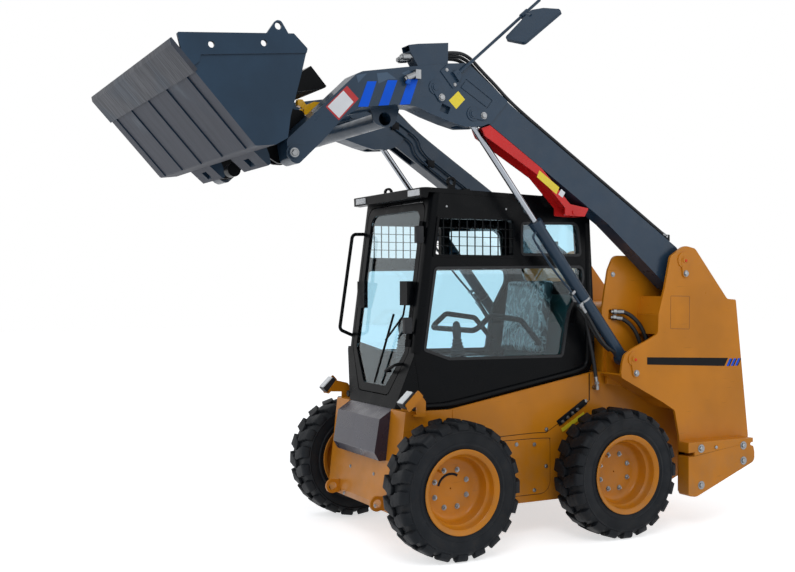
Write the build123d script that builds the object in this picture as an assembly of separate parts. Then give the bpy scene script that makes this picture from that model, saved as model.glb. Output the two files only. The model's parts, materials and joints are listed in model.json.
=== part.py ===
from build123d import *
import os
from math import atan2, cos, degrees, hypot, pi, radians, sin, tan

# Compact skid steer loader with its lift arms raised and a bucket on a quick coupler.
# Millimetres. +X is the machine's left, -Y its front, +Z up. Sizes are written from the
# middle of the wheelbase on the ground; the finished pieces are moved so that the origin
# is the bottom centre of the whole machine's box. Side outlines are rows (y, z, radius),
# front outlines rows (x, z, radius), and the radius rounds that corner.

# ------------------------------------------------------------------ wheels
WHEELBASE = 1146
TYRE_RADIUS = 387.5
TYRE_WIDTH = 250
TYRE_REACH = 211
TYRE_SECTORS = 20
LUG_HEIGHT = 22
LUG_COUNT = 20
LUG_ARC = 54
LUG_GAP_AT_CENTRE = 8
LUG_SLANT = 24
BEAD_RADIUS = 209
FLANGE_RADIUS = 234
FLANGE_X = 120
RIM_WALL = 9
FIT = 0.3
RIM_DROP_RADIUS = 190
DISC_X = -18
DISC_THICKNESS = 12
HUB_RADIUS = 72
AXLE_RADIUS = 32
AXLE_PLAY = 0.1
HOUSING_RADIUS = 62
RUNNING_GAP = 6
WHEEL_BOLTS = 8
WHEEL_BOLT_CIRCLE = 275
WHEEL_BOLT_RADIUS = 9

# ------------------------------------------------------------------ chassis
CHASSIS_HALF = 462
TYRE_CENTRE_X = CHASSIS_HALF + TYRE_REACH
SIDE_WALL = 12
CHAIN_CASE_WIDTH = 110
CHAIN_CASE_TOP = 530
BELLY_Z = 212
BELLY_THICKNESS = 10
BELT_FRONT_Y = -459
BELT_FRONT_Z = 800
BELT_REAR_Y = 556
BELT_REAR_Z = 975
NOSE_HALF = CHASSIS_HALF
NOSE_Y = -815
NOSE_TOP_Y = -753
NOSE_TOP_Z = 800
NOSE_PLATE = 12
BELLY_RISE_Y = 1100
BELLY_REAR_Z = 395
REAR_Y = 1580
LOOP_X = 308
LOOP_Z = 267
LOOP_RADIUS = 44
LOOP_HOLE = 25
LOOP_THICKNESS = 16
LOOP_REACH = 44
COVER_HALF = 286
COVER_TOP = (-743, 799)
COVER_BROW = (-828, 745)
COVER_CHIN = (-861, 554)
COVER_FOOT = (-832, 505)

# ------------------------------------------------------------------ tower
TOWER_GAP = 184
PLATE = 16
OUTER_PLATE_X = CHASSIS_HALF + PLATE + TOWER_GAP
ARM_PIVOT = (1116, 1671)
LIFT_BASE = (711, 1064)
PIVOT_PIN_RADIUS = 27
PIN_BOSS_RADIUS = 52
PIN_BOSS_HEIGHT = 6
KEEPER_RADIUS = 26
KEEPER_THICKNESS = 8
ARM_PIVOT_BOLT = (1125, 1587)
LIFT_BASE_BOLT = (726, 977)
WEIGHT_THICKNESS = 92

# ------------------------------------------------------------------ arms
ARM_CENTRE_X = CHASSIS_HALF + PLATE + TOWER_GAP / 2
ARM_WIDTH = 116
KNEE_WIDTH = 140
FORK_GAP = 80
LIFT_ROD_PIN = (-414, 2481)
TILT_BASE = (-659, 2610)
BUCKET_PIN = (-1499, 2201)
TILT_ROD_PIN = (-1410, 2400)
BUCKET_PIN_RADIUS = 24
CROSS_TUBE = (-900, 2437)
TILT_BASE_BOLT = (-621, 2556)
ROD_PIN_BOLT = (-346, 2475)
MIRROR_FOOT = (-526, 2689)
MIRROR_TIP = (33, 3174)
MIRROR_STALK_RADIUS = 9
CROSS_TUBE_RADIUS = 45

# ------------------------------------------------------------------ cylinders
LIFT_BARREL_RADIUS = 36
LIFT_BARREL_LENGTH = 1052
LIFT_BORE_RADIUS = 28
LIFT_ROD_RADIUS = 19
LIFT_ROD_LENGTH = 1140
LIFT_EYE_RADIUS = 44
LIFT_EYE_WIDTH = 60
TILT_CENTRE_X = ARM_CENTRE_X - 120
TILT_BARREL_RADIUS = 36
TILT_BARREL_LENGTH = 600
TILT_BORE_RADIUS = 28
TILT_ROD_RADIUS = 18
TILT_ROD_LENGTH = 585
TILT_EYE_RADIUS = 34
TILT_EYE_WIDTH = 40
GLAND_PLAY = 0.1

# ------------------------------------------------------------------ coupler and bucket
LUG_PLATE = 18
LUG_PLATE_GAP = 50
COUPLER_HALF = 560
STEP_HALF = 400
ROLLER = (-1612, 2166)
ROLLER_RADIUS = 38
BUCKET_HALF = 872
BUCKET_WALL = 10
BAND = 8
LIFT_LUG = (-1673, 2785)
LIFT_LUG_HOLE = 18
SIDE_HOLES = ((-2011, 2660), (-1747, 2694))
SIDE_HOLE = 16

# ------------------------------------------------------------------ cab
CAB_HALF = 440
CAB_WALL = 34
CAB_FOOT_HALF = CAB_HALF - 140
PILLAR_RADIUS = 45
CAB_ROOF_Z = 2050
DOOR_HALF = CAB_HALF - 72
DOOR_TOP_Z = 2000
DOOR_KINK_Z = 1128
DOOR_BOTTOM_Z = 874
DOOR_BOTTOM_HALF = DOOR_HALF - 178
DOOR_THICKNESS = 28
DOOR_GAP = 6
DOOR_RAIL = 46
GLASS = 6


def outline(rows):
    """Closed flat face through rows of (a, b, corner radius)."""
    corners = []
    for i, (a, b, r) in enumerate(rows):
        here = Vector(a, b)
        to_before = (Vector(*rows[i - 1][:2]) - here).normalized()
        to_after = (Vector(*rows[(i + 1) % len(rows)][:2]) - here).normalized()
        half = radians(to_before.get_angle(to_after)) / 2
        back = r / tan(half)
        inward = (to_before + to_after).normalized() * (r / sin(half) - r) if r else Vector()
        corners.append((here + to_before * back, here + inward, here + to_after * back))
    edges = []
    for i, (start, middle, end) in enumerate(corners):
        if (end - start).length > 0.01:
            edges.append(ThreePointArc(start, middle, end))
        following = corners[(i + 1) % len(corners)][0]
        if (following - end).length > 0.01:
            edges.append(Line(end, following))
    return make_face(edges)


def side_plate(rows, x_from, x_to):
    """Plate with a side outline, between two x planes."""
    return extrude(Plane.YZ.offset(x_from) * outline(rows), x_to - x_from)


def front_plate(rows, y_from, y_to):
    """Plate with a front outline, between two y planes."""
    return extrude(Plane.XZ.offset(-y_to) * outline(rows), y_to - y_from)


def block(x, y, z):
    """Box between two values on each axis."""
    low = (min(x), min(y), min(z))
    size = (abs(x[1] - x[0]), abs(y[1] - y[0]), abs(z[1] - z[0]))
    return Pos(*low) * Box(*size, align=(Align.MIN,) * 3)


def shaft(centre, radius, x_from, x_to):
    """Cylinder across the machine about a side point (y, z)."""
    return extrude(Plane.YZ.offset(x_from) * Pos(*centre) * Circle(radius), x_to - x_from)


def rod(start, end, radius):
    """Round bar from one point to another."""
    axis = Vector(*end) - Vector(*start)
    plane = Plane(origin=start, z_dir=axis)
    return plane * Cylinder(radius, axis.length, align=(Align.CENTER, Align.CENTER, Align.MIN))


def group(*shapes):
    """One node's solids, side by side."""
    return Compound([solid for shape in shapes for solid in shape.solids()])


def both_sides(shape):
    """The shape and its mirror image, as solids that don't touch."""
    return group(shape, mirror(shape, about=Plane.YZ))


def between(start, end, share):
    """Point part of the way from one side point to another."""
    return (start[0] + (end[0] - start[0]) * share, start[1] + (end[1] - start[1]) * share)


def direction(start, end):
    """Unit vector (y, z) and length from one side point to another."""
    length = hypot(end[0] - start[0], end[1] - start[1])
    return (end[0] - start[0]) / length, (end[1] - start[1]) / length, length


nodes = {}
CHASSIS_INNER = CHASSIS_HALF - SIDE_WALL
INNER_PLATE_X = CHASSIS_HALF
AXLE_Z = TYRE_RADIUS
AXLE_Y = (-WHEELBASE / 2, WHEELBASE / 2)


def belt_z(y):
    """Height of the seam between the chassis and the cab."""
    slope = (BELT_REAR_Z - BELT_FRONT_Z) / (BELT_REAR_Y - BELT_FRONT_Y)
    return BELT_FRONT_Z + max(0, y - BELT_FRONT_Y) * slope


# ------------------------------------------------------------------ wheels
def ring(x, radius):
    """Regular polygon across the wheel at x, with its corners on a radius."""
    return Plane.YZ.offset(x) * RegularPolygon(radius, TYRE_SECTORS)


def flat_sided(sections):
    """Closed solid about the X axis through polygon sections (x, radius), with flat faces between them."""
    turns = [2 * pi * i / TYRE_SECTORS for i in range(TYRE_SECTORS)]
    rings = [[Vector(x, r * cos(turn), r * sin(turn)) for turn in turns] for x, r in sections]
    faces = [Face(Wire.make_polygon(end)) for end in (rings[0], rings[-1])]
    for near, far in zip(rings, rings[1:]):
        for i in range(TYRE_SECTORS):
            faces.append(Face(Wire.make_polygon([near[i - 1], near[i], far[i], far[i - 1]])))
    return Solid(Shell(faces))


def tyre():
    """Tyre about the X axis: a carcass in flat sectors with two staggered rows of lugs."""
    half = TYRE_WIDTH / 2
    base = TYRE_RADIUS - LUG_HEIGHT
    bead = FLANGE_X - RIM_WALL - FIT
    wider = 1 / cos(pi / TYRE_SECTORS)
    wall = [(bead, (FLANGE_RADIUS + FIT) * wider), (half - 4, FLANGE_RADIUS + 14), (half, base - 62), (half - 56, base)]
    carcass = flat_sided([(-x, r) for x, r in wall] + [(x, r) for x, r in reversed(wall)])
    carcass -= extrude(ring(-bead, (BEAD_RADIUS + FIT) * wider), 2 * bead)
    reach = LUG_ARC / 2 + LUG_SLANT
    crown = (TYRE_RADIUS ** 2 - reach ** 2) ** 0.5
    lugs = []
    for row in (1, -1):
        near = LUG_GAP_AT_CENTRE * row
        far = (half - 3) * row
        foot = outline([
            (near, -LUG_ARC / 2, 0), (near, LUG_ARC / 2, 0),
            (far, reach, 0), (far, reach - LUG_ARC + 6, 0)][::row])
        side = Plane.XZ * outline([
            (near, base - 12, 0), (far, base - 74, 0), (far, base - 34, 0), (far - 34 * row, crown, 0), (near, crown, 0)][::-row])
        lug = extrude(Plane.XY.offset(base - 80) * foot, LUG_HEIGHT + 80) & extrude(side, 200, both=True)
        for i in range(LUG_COUNT):
            lugs.append(Rot(X=360 / LUG_COUNT * (i + 0.25 * row)) * lug)
    return carcass + lugs


def rim():
    """Deep rim with its disc, hub and bolt holes, about the X axis, outer face towards +X."""
    well = RIM_DROP_RADIUS
    half = FLANGE_X
    shell = Polyline(
        (half, FLANGE_RADIUS), (half, FLANGE_RADIUS - RIM_WALL), (half - 14, BEAD_RADIUS - RIM_WALL),
        (half - 62, BEAD_RADIUS - RIM_WALL), (half - 84, well - RIM_WALL), (-half + 84, well - RIM_WALL),
        (-half + 62, BEAD_RADIUS - RIM_WALL), (-half + 14, BEAD_RADIUS - RIM_WALL),
        (-half, FLANGE_RADIUS - RIM_WALL), (-half, FLANGE_RADIUS), (-half + 9, FLANGE_RADIUS),
        (-half + 9, BEAD_RADIUS), (-half + 66, BEAD_RADIUS), (-half + 88, well), (half - 88, well),
        (half - 66, BEAD_RADIUS), (half - 9, BEAD_RADIUS), (half - 9, FLANGE_RADIUS), close=True)
    body = revolve(make_face(shell), Axis.X)
    disc_back = DISC_X - DISC_THICKNESS
    body += shaft((0, 0), well - RIM_WALL + 2, disc_back, DISC_X)
    hub_inner = -(TYRE_CENTRE_X - CHASSIS_HALF - 140)
    body += shaft((0, 0), HUB_RADIUS, hub_inner, DISC_X)
    body -= shaft((0, 0), AXLE_RADIUS + AXLE_PLAY, hub_inner, disc_back)
    for i in range(WHEEL_BOLTS):
        angle = radians(360 / WHEEL_BOLTS * (i + 0.5))
        centre = (WHEEL_BOLT_CIRCLE / 2 * cos(angle), WHEEL_BOLT_CIRCLE / 2 * sin(angle))
        body += shaft(centre, WHEEL_BOLT_RADIUS, DISC_X, DISC_X + 14)
    return body


HUB_INNER_X = CHASSIS_HALF + 140
one_tyre = tyre()
one_rim = rim()
for name, y, side in (
        ("front_left", AXLE_Y[0], 1), ("front_right", AXLE_Y[0], -1),
        ("rear_left", AXLE_Y[1], 1), ("rear_right", AXLE_Y[1], -1)):
    for piece, shape in (("tyre", one_tyre), ("rim", one_rim)):
        sided = shape if side > 0 else mirror(shape, about=Plane.YZ)
        nodes[f"{piece}_{name}"] = Pos(TYRE_CENTRE_X * side, y, AXLE_Z) * sided


# ------------------------------------------------------------------ chassis
def chassis():
    """Welded lower frame: side walls with chain cases, belly, nose and tie-down loops."""
    nose_rows = [
        (-560, BELLY_Z, 0), (NOSE_Y + 15, BELLY_Z, 0), (NOSE_Y, BELLY_Z + 40, 0),
        (NOSE_TOP_Y, NOSE_TOP_Z, 0), (-560, NOSE_TOP_Z, 0)]
    nose_inside = [
        (-500, BELLY_Z + BELLY_THICKNESS, 0), (NOSE_Y + NOSE_PLATE + 4, BELLY_Z + BELLY_THICKNESS, 0),
        (NOSE_Y + NOSE_PLATE, BELLY_Z + 42, 0), (NOSE_TOP_Y + NOSE_PLATE, NOSE_TOP_Z - BELLY_THICKNESS, 0),
        (-500, NOSE_TOP_Z - BELLY_THICKNESS, 0)]
    body = side_plate(nose_rows, -NOSE_HALF, NOSE_HALF)
    body -= block((-COVER_HALF, COVER_HALF), (NOSE_Y - 50, -500), (COVER_FOOT[1], 1000))
    body -= side_plate(nose_inside, -CHASSIS_INNER, CHASSIS_INNER)
    wall_rows = [
        (-700, BELLY_Z, 0), (BELLY_RISE_Y, BELLY_Z, 0), (REAR_Y, BELLY_REAR_Z, 0), (REAR_Y, BELT_REAR_Z, 0), (BELT_REAR_Y, BELT_REAR_Z, 0),
        (BELT_FRONT_Y, BELT_FRONT_Z, 0), (-700, BELT_FRONT_Z, 0)]
    belly_rows = [(-690, BELLY_Z, 0), (BELLY_RISE_Y, BELLY_Z, 0), (REAR_Y, BELLY_REAR_Z, 0)]
    belly_rows += [(y, z + BELLY_THICKNESS, 0) for y, z, _ in reversed(belly_rows)]
    body += side_plate(belly_rows, -CHASSIS_HALF, CHASSIS_HALF)
    for side in (1, -1):
        x = sorted((side * CHASSIS_INNER, side * CHASSIS_HALF))
        body += side_plate(wall_rows, *x)
        case = sorted((side * (CHASSIS_HALF - CHAIN_CASE_WIDTH), side * CHASSIS_INNER))
        body += block(case, (-700 + 30, 900), (BELLY_Z + 0, CHAIN_CASE_TOP))
        loop = sorted((side * (LOOP_X - LOOP_THICKNESS / 2), side * (LOOP_X + LOOP_THICKNESS / 2)))
        centre = (NOSE_Y - LOOP_REACH, LOOP_Z)
        tie = shaft(centre, LOOP_RADIUS, *loop)
        tie += block(loop, (NOSE_Y - LOOP_REACH, NOSE_Y + 4), (LOOP_Z - LOOP_RADIUS + 4, LOOP_Z + LOOP_RADIUS - 4))
        body += tie - shaft(centre, LOOP_HOLE, *loop)
    body += block((-CHASSIS_INNER, CHASSIS_INNER), (REAR_Y - 14, REAR_Y), (BELLY_REAR_Z, 480))
    return body


nodes["chassis_frame"] = chassis()

cover_rows = [
    (-700, 799, 0), (*COVER_TOP, 0), (*COVER_BROW, 6), (*COVER_CHIN, 8), (*COVER_FOOT, 6), (-700, COVER_FOOT[1] + FIT, 0)]
cover = side_plate(cover_rows, -COVER_HALF + 0.3, COVER_HALF - 0.3)
cover_inside = [
    (-650, 790, 0), (COVER_TOP[0] + 4, 788, 0), (COVER_BROW[0] + 12, COVER_BROW[1] - 6, 0),
    (COVER_CHIN[0] + 12, COVER_CHIN[1] + 2, 0), (COVER_FOOT[0] + 8, COVER_FOOT[1] + 10, 0),
    (-650, COVER_FOOT[1] + 10, 0)]
nodes["front_cover"] = cover - side_plate(cover_inside, -COVER_HALF + 10, COVER_HALF - 10)

axles = []
for y in AXLE_Y:
    tube = shaft((y, AXLE_Z), HOUSING_RADIUS, CHASSIS_HALF, HUB_INNER_X - RUNNING_GAP)
    tube += shaft((y, AXLE_Z), HOUSING_RADIUS + 22, CHASSIS_HALF, CHASSIS_HALF + 24)
    tube += shaft((y, AXLE_Z), AXLE_RADIUS, HUB_INNER_X - RUNNING_GAP, TYRE_CENTRE_X + DISC_X - 20)
    axles += [tube, mirror(tube, about=Plane.YZ)]
nodes["axle_housings"] = group(*axles)

engine = block((-240, 240), (820, 1380), (350, 860))
for x in (-160, 160):
    engine += block((x - 40, x + 40), (850, BELLY_RISE_Y - 20), (BELLY_Z + BELLY_THICKNESS, 350))
nodes["engine_block"] = engine

# ------------------------------------------------------------------ towers
outer_rows = [
    (1116, 1764, 88), (1209, 1745, 40), (1482, 1425, 30), (1557, 1420, 12), (1663, 535, 0), (1620, 400, 20),
    (1129, 215, 20), (1076, 225, 0), (1076, 562, 30), (1038, 733, 30), (935, 792, 10), (620, 952, 12), (614, 985, 10),
    (622, 1041, 30), (640, 1092, 30), (703, 1129, 10), (836, 1182, 20), (904, 1215, 25), (908, 1334, 10),
    (959, 1500, 10), (1005, 1693, 30)]
inner_rows = [
    (627, 975, 0), (635, 1150, 20), (627, 1355, 40), (675, 1609, 60), (720, 1700, 50), (903, 1700, 60),
    (1010, 1610, 20), (1060, 1740, 30), (1116, 1764, 60), (1209, 1745, 40), (1482, 1425, 30), (1557, 1420, 12),
    (1640, 700, 0), (1580, 700, 0), (1580, 975, 0)]
web_thickness = 10
inner_face = INNER_PLATE_X + PLATE


def web(start, end):
    """Plate across the tower's gap, its upper face from one side point to the other."""
    run_y, run_z, _ = direction(start, end)
    drop = (run_z * web_thickness, -run_y * web_thickness)
    lap = (run_y * web_thickness / 2, run_z * web_thickness / 2)
    first = (start[0] - lap[0], start[1] - lap[1])
    last = (end[0] + lap[0], end[1] + lap[1])
    rows = [(*first, 0), (*last, 0), (last[0] + drop[0], last[1] + drop[1], 0),
            (first[0] + drop[0], first[1] + drop[1], 0)]
    return side_plate(rows, inner_face, OUTER_PLATE_X)


def keeper(pin, bolt, x):
    """Obround plate that keeps a pin from turning, with its bolt, standing out from x."""
    run_y, run_z, length = direction(pin, bolt)
    middle = ((pin[0] + bolt[0]) / 2, (pin[1] + bolt[1]) / 2)
    flat = Pos(*middle) * Rot(Z=degrees(atan2(run_z, run_y))) * SlotCenterToCenter(length, 2 * KEEPER_RADIUS)
    return extrude(Plane.YZ.offset(x) * flat, KEEPER_THICKNESS) + shaft(bolt, 13, x, x + KEEPER_THICKNESS + 9) + \
        shaft(pin, 17, x, x + KEEPER_THICKNESS + 4)


def tower():
    """Left tower: two plates, the webs between them, pivot bosses and pins."""
    body = side_plate(outer_rows, OUTER_PLATE_X, OUTER_PLATE_X + PLATE)
    body += side_plate(inner_rows, INNER_PLATE_X, inner_face)
    for start, end in (
            ((620, 975), (935, 812)), ((925, 815), (1040, 750)), ((908, 1215), (908, 1334)),
            ((908, 1334), (948, 1440)), ((1260, 1660), (1480, 1410)), ((1480, 1410), (1550, 1405)),
            ((1550, 1405), (1630, 720))):
        body += web(start, end)
    for centre, radius, bolt in ((ARM_PIVOT, PIN_BOSS_RADIUS, ARM_PIVOT_BOLT), (LIFT_BASE, PIN_BOSS_RADIUS - 8, LIFT_BASE_BOLT)):
        body += shaft(centre, radius, OUTER_PLATE_X + PLATE, OUTER_PLATE_X + PLATE + PIN_BOSS_HEIGHT)
        body += keeper(centre, bolt, OUTER_PLATE_X + PLATE)
        body += shaft(centre, PIVOT_PIN_RADIUS, inner_face, OUTER_PLATE_X)
    body -= side_plate([(676, 1300, 9), (700, 1300, 9), (704, 1362, 9), (680, 1362, 9)], INNER_PLATE_X, inner_face)
    body += side_plate([(LIFT_BASE[0] - 60, 900, 0), (LIFT_BASE[0] + 60, 880, 0), (LIFT_BASE[0] + 60, 1120, 40),
                        (LIFT_BASE[0] - 60, 1120, 40)], inner_face, inner_face + 20)
    return body


nodes["tower_left"] = tower()
nodes["tower_right"] = mirror(nodes["tower_left"], about=Plane.YZ)

weight_rows = [
    (1066, 539, 10), (1613, 535, 0), (1613, 485, 0), (1626, 445, 10), (1626, 384, 30), (1129, 198, 20), (1066, 209, 20)]
weight_x = OUTER_PLATE_X + PLATE
nodes["counterweights"] = both_sides(side_plate(weight_rows, weight_x, weight_x + WEIGHT_THICKNESS))

# ------------------------------------------------------------------ hood and tailgate
hood_rows = [(640, 975, 0), (640, 1400, 60), (1470, 1400, 40), (1545, 1380, 20), (1570, 975, 0)]
hood_inside = [(650, 900, 0), (650, 1390, 50), (1465, 1390, 30), (1540, 1370, 10), (1700, 900, 0)]
hood_half = INNER_PLATE_X - 4
nodes["engine_hood"] = side_plate(hood_rows, -hood_half, hood_half) - \
    side_plate(hood_inside, -hood_half + 10, hood_half - 10)
gate_rows = [(1586, 500, 20), (1640, 500, 20), (1646, 640, 0), (1584, 1310, 25), (1560, 1340, 0), (1586, 975, 0)]
GATE_HALF = CHASSIS_HALF - 22
gate = side_plate(gate_rows, -GATE_HALF, GATE_HALF)
GRILLE_HALF, GRILLE_BAR, GRILLE_SLOTS = 300, 15, 8
for i in range(GRILLE_SLOTS):
    z = 770 + i * 46
    for side in (1, -1):
        gate -= block(sorted((side * GRILLE_BAR, side * GRILLE_HALF)), (1500, 1700), (z, z + 24))
nodes["tailgate"] = gate
gate_slope = (1646 - 1584) / (1310 - 640)
tail_lamps = []
for z in (1195, 1240):
    y = 1646 - (z - 640) * gate_slope
    tail_lamps.append(Pos(380, y + 1.5, z) * (Rot(X=-90) * Cylinder(20, 16, align=(Align.CENTER, Align.CENTER, Align.MIN))))
nodes["tail_lamps"] = both_sides(group(*tail_lamps) - gate)

# ------------------------------------------------------------------ lift arms
knee_rows = [
    (-1520, 2160, 30), (-1475, 2140, 30), (-1336, 2274, 30), (-1231, 2388, 30), (-1177, 2430, 30),
    (-1109, 2466, 40), (-909, 2496, 60), (-779, 2496, 60), (-682, 2461, 60), (-564, 2427, 60),
    (-465, 2405, 60), (-353, 2415, 40), (-291, 2440, 30), (-177, 2569, 10), (-445, 2764, 40),
    (-575, 2750, 30), (-855, 2703, 60), (-1105, 2658, 40), (-1142, 2639, 30), (-1540, 2265, 40)]
tube_rows = [
    (-291, 2430, 0), (556, 1885, 40), (1060, 1478, 60), (1150, 1500, 40), (1195, 1640, 50), (1098, 1753, 60),
    (-177, 2569, 0), (-330, 2640, 0), (-400, 2500, 0)]
slot_rows = [
    (-500, 2250, 0), (-500, 2560, 30), (-460, 2610, 30), (-330, 2610, 30), (-140, 2370, 0), (-140, 2250, 0)]


def lift_arm():
    """Left arm: rear tube, knee plates and front section, forked at the rod pin."""
    knee_x = (ARM_CENTRE_X - KNEE_WIDTH / 2, ARM_CENTRE_X + KNEE_WIDTH / 2)
    tube_x = (ARM_CENTRE_X - ARM_WIDTH / 2, ARM_CENTRE_X + ARM_WIDTH / 2)
    body = side_plate(knee_rows, *knee_x) + side_plate(tube_rows, *tube_x)
    body -= side_plate(slot_rows, ARM_CENTRE_X - FORK_GAP / 2, ARM_CENTRE_X + FORK_GAP / 2)
    body -= shaft(ARM_PIVOT, PIVOT_PIN_RADIUS + AXLE_PLAY, *tube_x)
    for centre, radius in ((TILT_BASE, 40), (LIFT_ROD_PIN, 40), (BUCKET_PIN, 42)):
        body += shaft(centre, radius, knee_x[1], knee_x[1] + 5)
    body += keeper(TILT_BASE, TILT_BASE_BOLT, knee_x[1]) + keeper(LIFT_ROD_PIN, ROD_PIN_BOLT, knee_x[1])
    body += shaft(BUCKET_PIN, 30, knee_x[1], knee_x[1] + 14) + shaft(BUCKET_PIN, 14, knee_x[1], knee_x[1] + 22)
    body -= side_plate([(-613, 2526, 5), (-559, 2506, 5), (-577, 2466, 5), (-632, 2483, 5)], knee_x[1] - 26, knee_x[1])
    body -= side_plate([(-459, 2675, 6), (-281, 2567, 6), (-321, 2516, 6), (-504, 2621, 6)], knee_x[1] - 4, knee_x[1]) - \
        side_plate([(-460, 2663, 4), (-294, 2563, 4), (-323, 2527, 4), (-491, 2624, 4)], knee_x[1] - 4, knee_x[1])
    lug_end = TILT_CENTRE_X - LUG_PLATE_GAP / 2 - LUG_PLATE - 3
    body += shaft(BUCKET_PIN, BUCKET_PIN_RADIUS, lug_end, knee_x[0])
    body += shaft(TILT_BASE, BUCKET_PIN_RADIUS, TILT_CENTRE_X - 30, knee_x[0])
    return body


nodes["arm_left"] = lift_arm()
nodes["arm_right"] = mirror(nodes["arm_left"], about=Plane.YZ)
cross_half = ARM_CENTRE_X - KNEE_WIDTH / 2
cross = shaft(CROSS_TUBE, CROSS_TUBE_RADIUS, -cross_half, cross_half)
for side in (1, -1):
    cross += side_plate([(-1010, 2560, 30), (-960, 2400, 40), (-840, 2400, 40), (-790, 2560, 30)],
                        *sorted((side * (cross_half - 12), side * cross_half)))
nodes["arm_cross_tube"] = cross - shaft(CROSS_TUBE, CROSS_TUBE_RADIUS - 8, -cross_half, cross_half)


# ------------------------------------------------------------------ cylinders
def barrel(base, tip, centre_x, length, radius, bore, rod_radius, eye_width, eye_radius, pin_radius):
    """Closed barrel from its base eye to its gland, bored for its rod."""
    run_y, run_z, _ = direction(base, tip)
    start = (centre_x, *base)

    def along(distance):
        return (centre_x, base[0] + run_y * distance, base[1] + run_z * distance)

    body = rod(along(eye_radius - 12), along(length), radius)
    body += rod(along(length - 60), along(length), radius + 5)
    body += shaft(base, eye_radius, centre_x - eye_width / 2, centre_x + eye_width / 2)
    body -= rod(along(eye_radius + 25), along(length - 45), bore)
    body -= rod(along(eye_radius + 25), along(length + 5), rod_radius + GLAND_PLAY)
    body -= shaft(base, pin_radius + AXLE_PLAY, centre_x - eye_width, centre_x + eye_width)
    return body


def piston_rod(base, tip, centre_x, length, radius, bore, eye_width, eye_radius, pin_radius):
    """Rod with its piston, its eye and the pin that the eye carries."""
    run_y, run_z, _ = direction(tip, base)

    def along(distance):
        return (centre_x, tip[0] + run_y * distance, tip[1] + run_z * distance)

    body = rod(along(eye_radius - 8), along(length), radius)
    body += rod(along(length - 30), along(length), bore - 0.5)
    body += rod(along(eye_radius - 8), along(eye_radius + 22), radius + 4)
    body += shaft(tip, eye_radius, centre_x - eye_width / 2, centre_x + eye_width / 2)
    return body


lift = (LIFT_BASE, LIFT_ROD_PIN, ARM_CENTRE_X)
tilt = (TILT_BASE, TILT_ROD_PIN, TILT_CENTRE_X)
left_cylinders = {
    "lift_barrel": barrel(*lift, LIFT_BARREL_LENGTH, LIFT_BARREL_RADIUS, LIFT_BORE_RADIUS, LIFT_ROD_RADIUS,
                          LIFT_EYE_WIDTH, LIFT_EYE_RADIUS, PIVOT_PIN_RADIUS),
    "lift_rod": piston_rod(*lift, LIFT_ROD_LENGTH, LIFT_ROD_RADIUS, LIFT_BORE_RADIUS,
                           LIFT_EYE_WIDTH, LIFT_EYE_RADIUS, PIVOT_PIN_RADIUS),
    "tilt_barrel": barrel(*tilt, TILT_BARREL_LENGTH, TILT_BARREL_RADIUS, TILT_BORE_RADIUS, TILT_ROD_RADIUS,
                          TILT_EYE_WIDTH, TILT_EYE_RADIUS + 6, BUCKET_PIN_RADIUS),
    "tilt_rod": piston_rod(*tilt, TILT_ROD_LENGTH, TILT_ROD_RADIUS, TILT_BORE_RADIUS,
                           TILT_EYE_WIDTH, TILT_EYE_RADIUS, BUCKET_PIN_RADIUS)}
for name, shape in left_cylinders.items():
    nodes[f"{name}_left"] = shape
    nodes[f"{name}_right"] = mirror(shape, about=Plane.YZ)

# ------------------------------------------------------------------ coupler and bucket
BACK_FOOT = (-1620, 2243)
BACK_BEND = (-1606, 2349)
BACK_HEAD = (-1549, 2560)
back_line = [BACK_FOOT, BACK_BEND, BACK_HEAD]
face_rows = [(y + FIT, z, 0) for y, z in back_line] + [(y + 26, z, 0) for y, z in reversed(back_line)]
lug_rows = [
    (-1600, 2200, 10), (-1530, 2160, 30), (-1465, 2160, 30), (-1440, 2230, 20), (-1362, 2390, 30),
    (-1385, 2450, 30), (-1440, 2450, 20), (-1520, 2556, 10)] + [(y + 13, z, 0) for y, z in reversed(back_line)]


def coupler():
    """Quick coupler: face plate with windows, hinge lugs for arms and tilt rods, and a step."""
    body = side_plate(face_rows, -COUPLER_HALF, COUPLER_HALF)
    for side in (1, -1):
        for x in (TILT_CENTRE_X - LUG_PLATE_GAP / 2 - LUG_PLATE, TILT_CENTRE_X + LUG_PLATE_GAP / 2):
            body += side_plate(lug_rows, *sorted((side * x, side * (x + LUG_PLATE))))
        body -= shaft(BUCKET_PIN, BUCKET_PIN_RADIUS + AXLE_PLAY, *sorted((side * 380, side * 520)))
        body -= block(sorted((side * 60, side * 180)), (-1700, -1400), (2300, 2440))
        body -= block(sorted((side * 220, side * 340)), (-1700, -1400), (2300, 2440))
    step_rows = [(-1540, 2545, 0), (-1300, 2712, 0), (-1208, 2610, 0), (-1215, 2600, 0), (-1302, 2697, 0), (-1530, 2538, 0)]
    cheek_rows = [(-1540, 2545, 0), (-1300, 2712, 0), (-1208, 2610, 0), (-1250, 2590, 0), (-1520, 2535, 0)]
    step = side_plate(step_rows, -STEP_HALF, STEP_HALF)
    window = STEP_HALF / 2 - 45
    for x in (-0.75, -0.25, 0.25, 0.75):
        middle = x * STEP_HALF
        step -= block((middle - window / 2, middle + window / 2), (-1500, -1420), (2500, 2800))
        step -= block((middle - window / 2, middle + window / 2), (-1390, -1325), (2500, 2800))
        step -= block((middle - window / 2, middle + window / 2), (-1275, -1232), (2500, 2800))
    for x in (-STEP_HALF, STEP_HALF - 12):
        step += side_plate(cheek_rows, x, x + 12)
    body += step
    body += shaft(ROLLER, ROLLER_RADIUS, -35, 35) + block((-25, 25), (ROLLER[0] + 2, BACK_FOOT[0] + 26), (ROLLER[1], BACK_FOOT[1] + 10))
    return body


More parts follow.
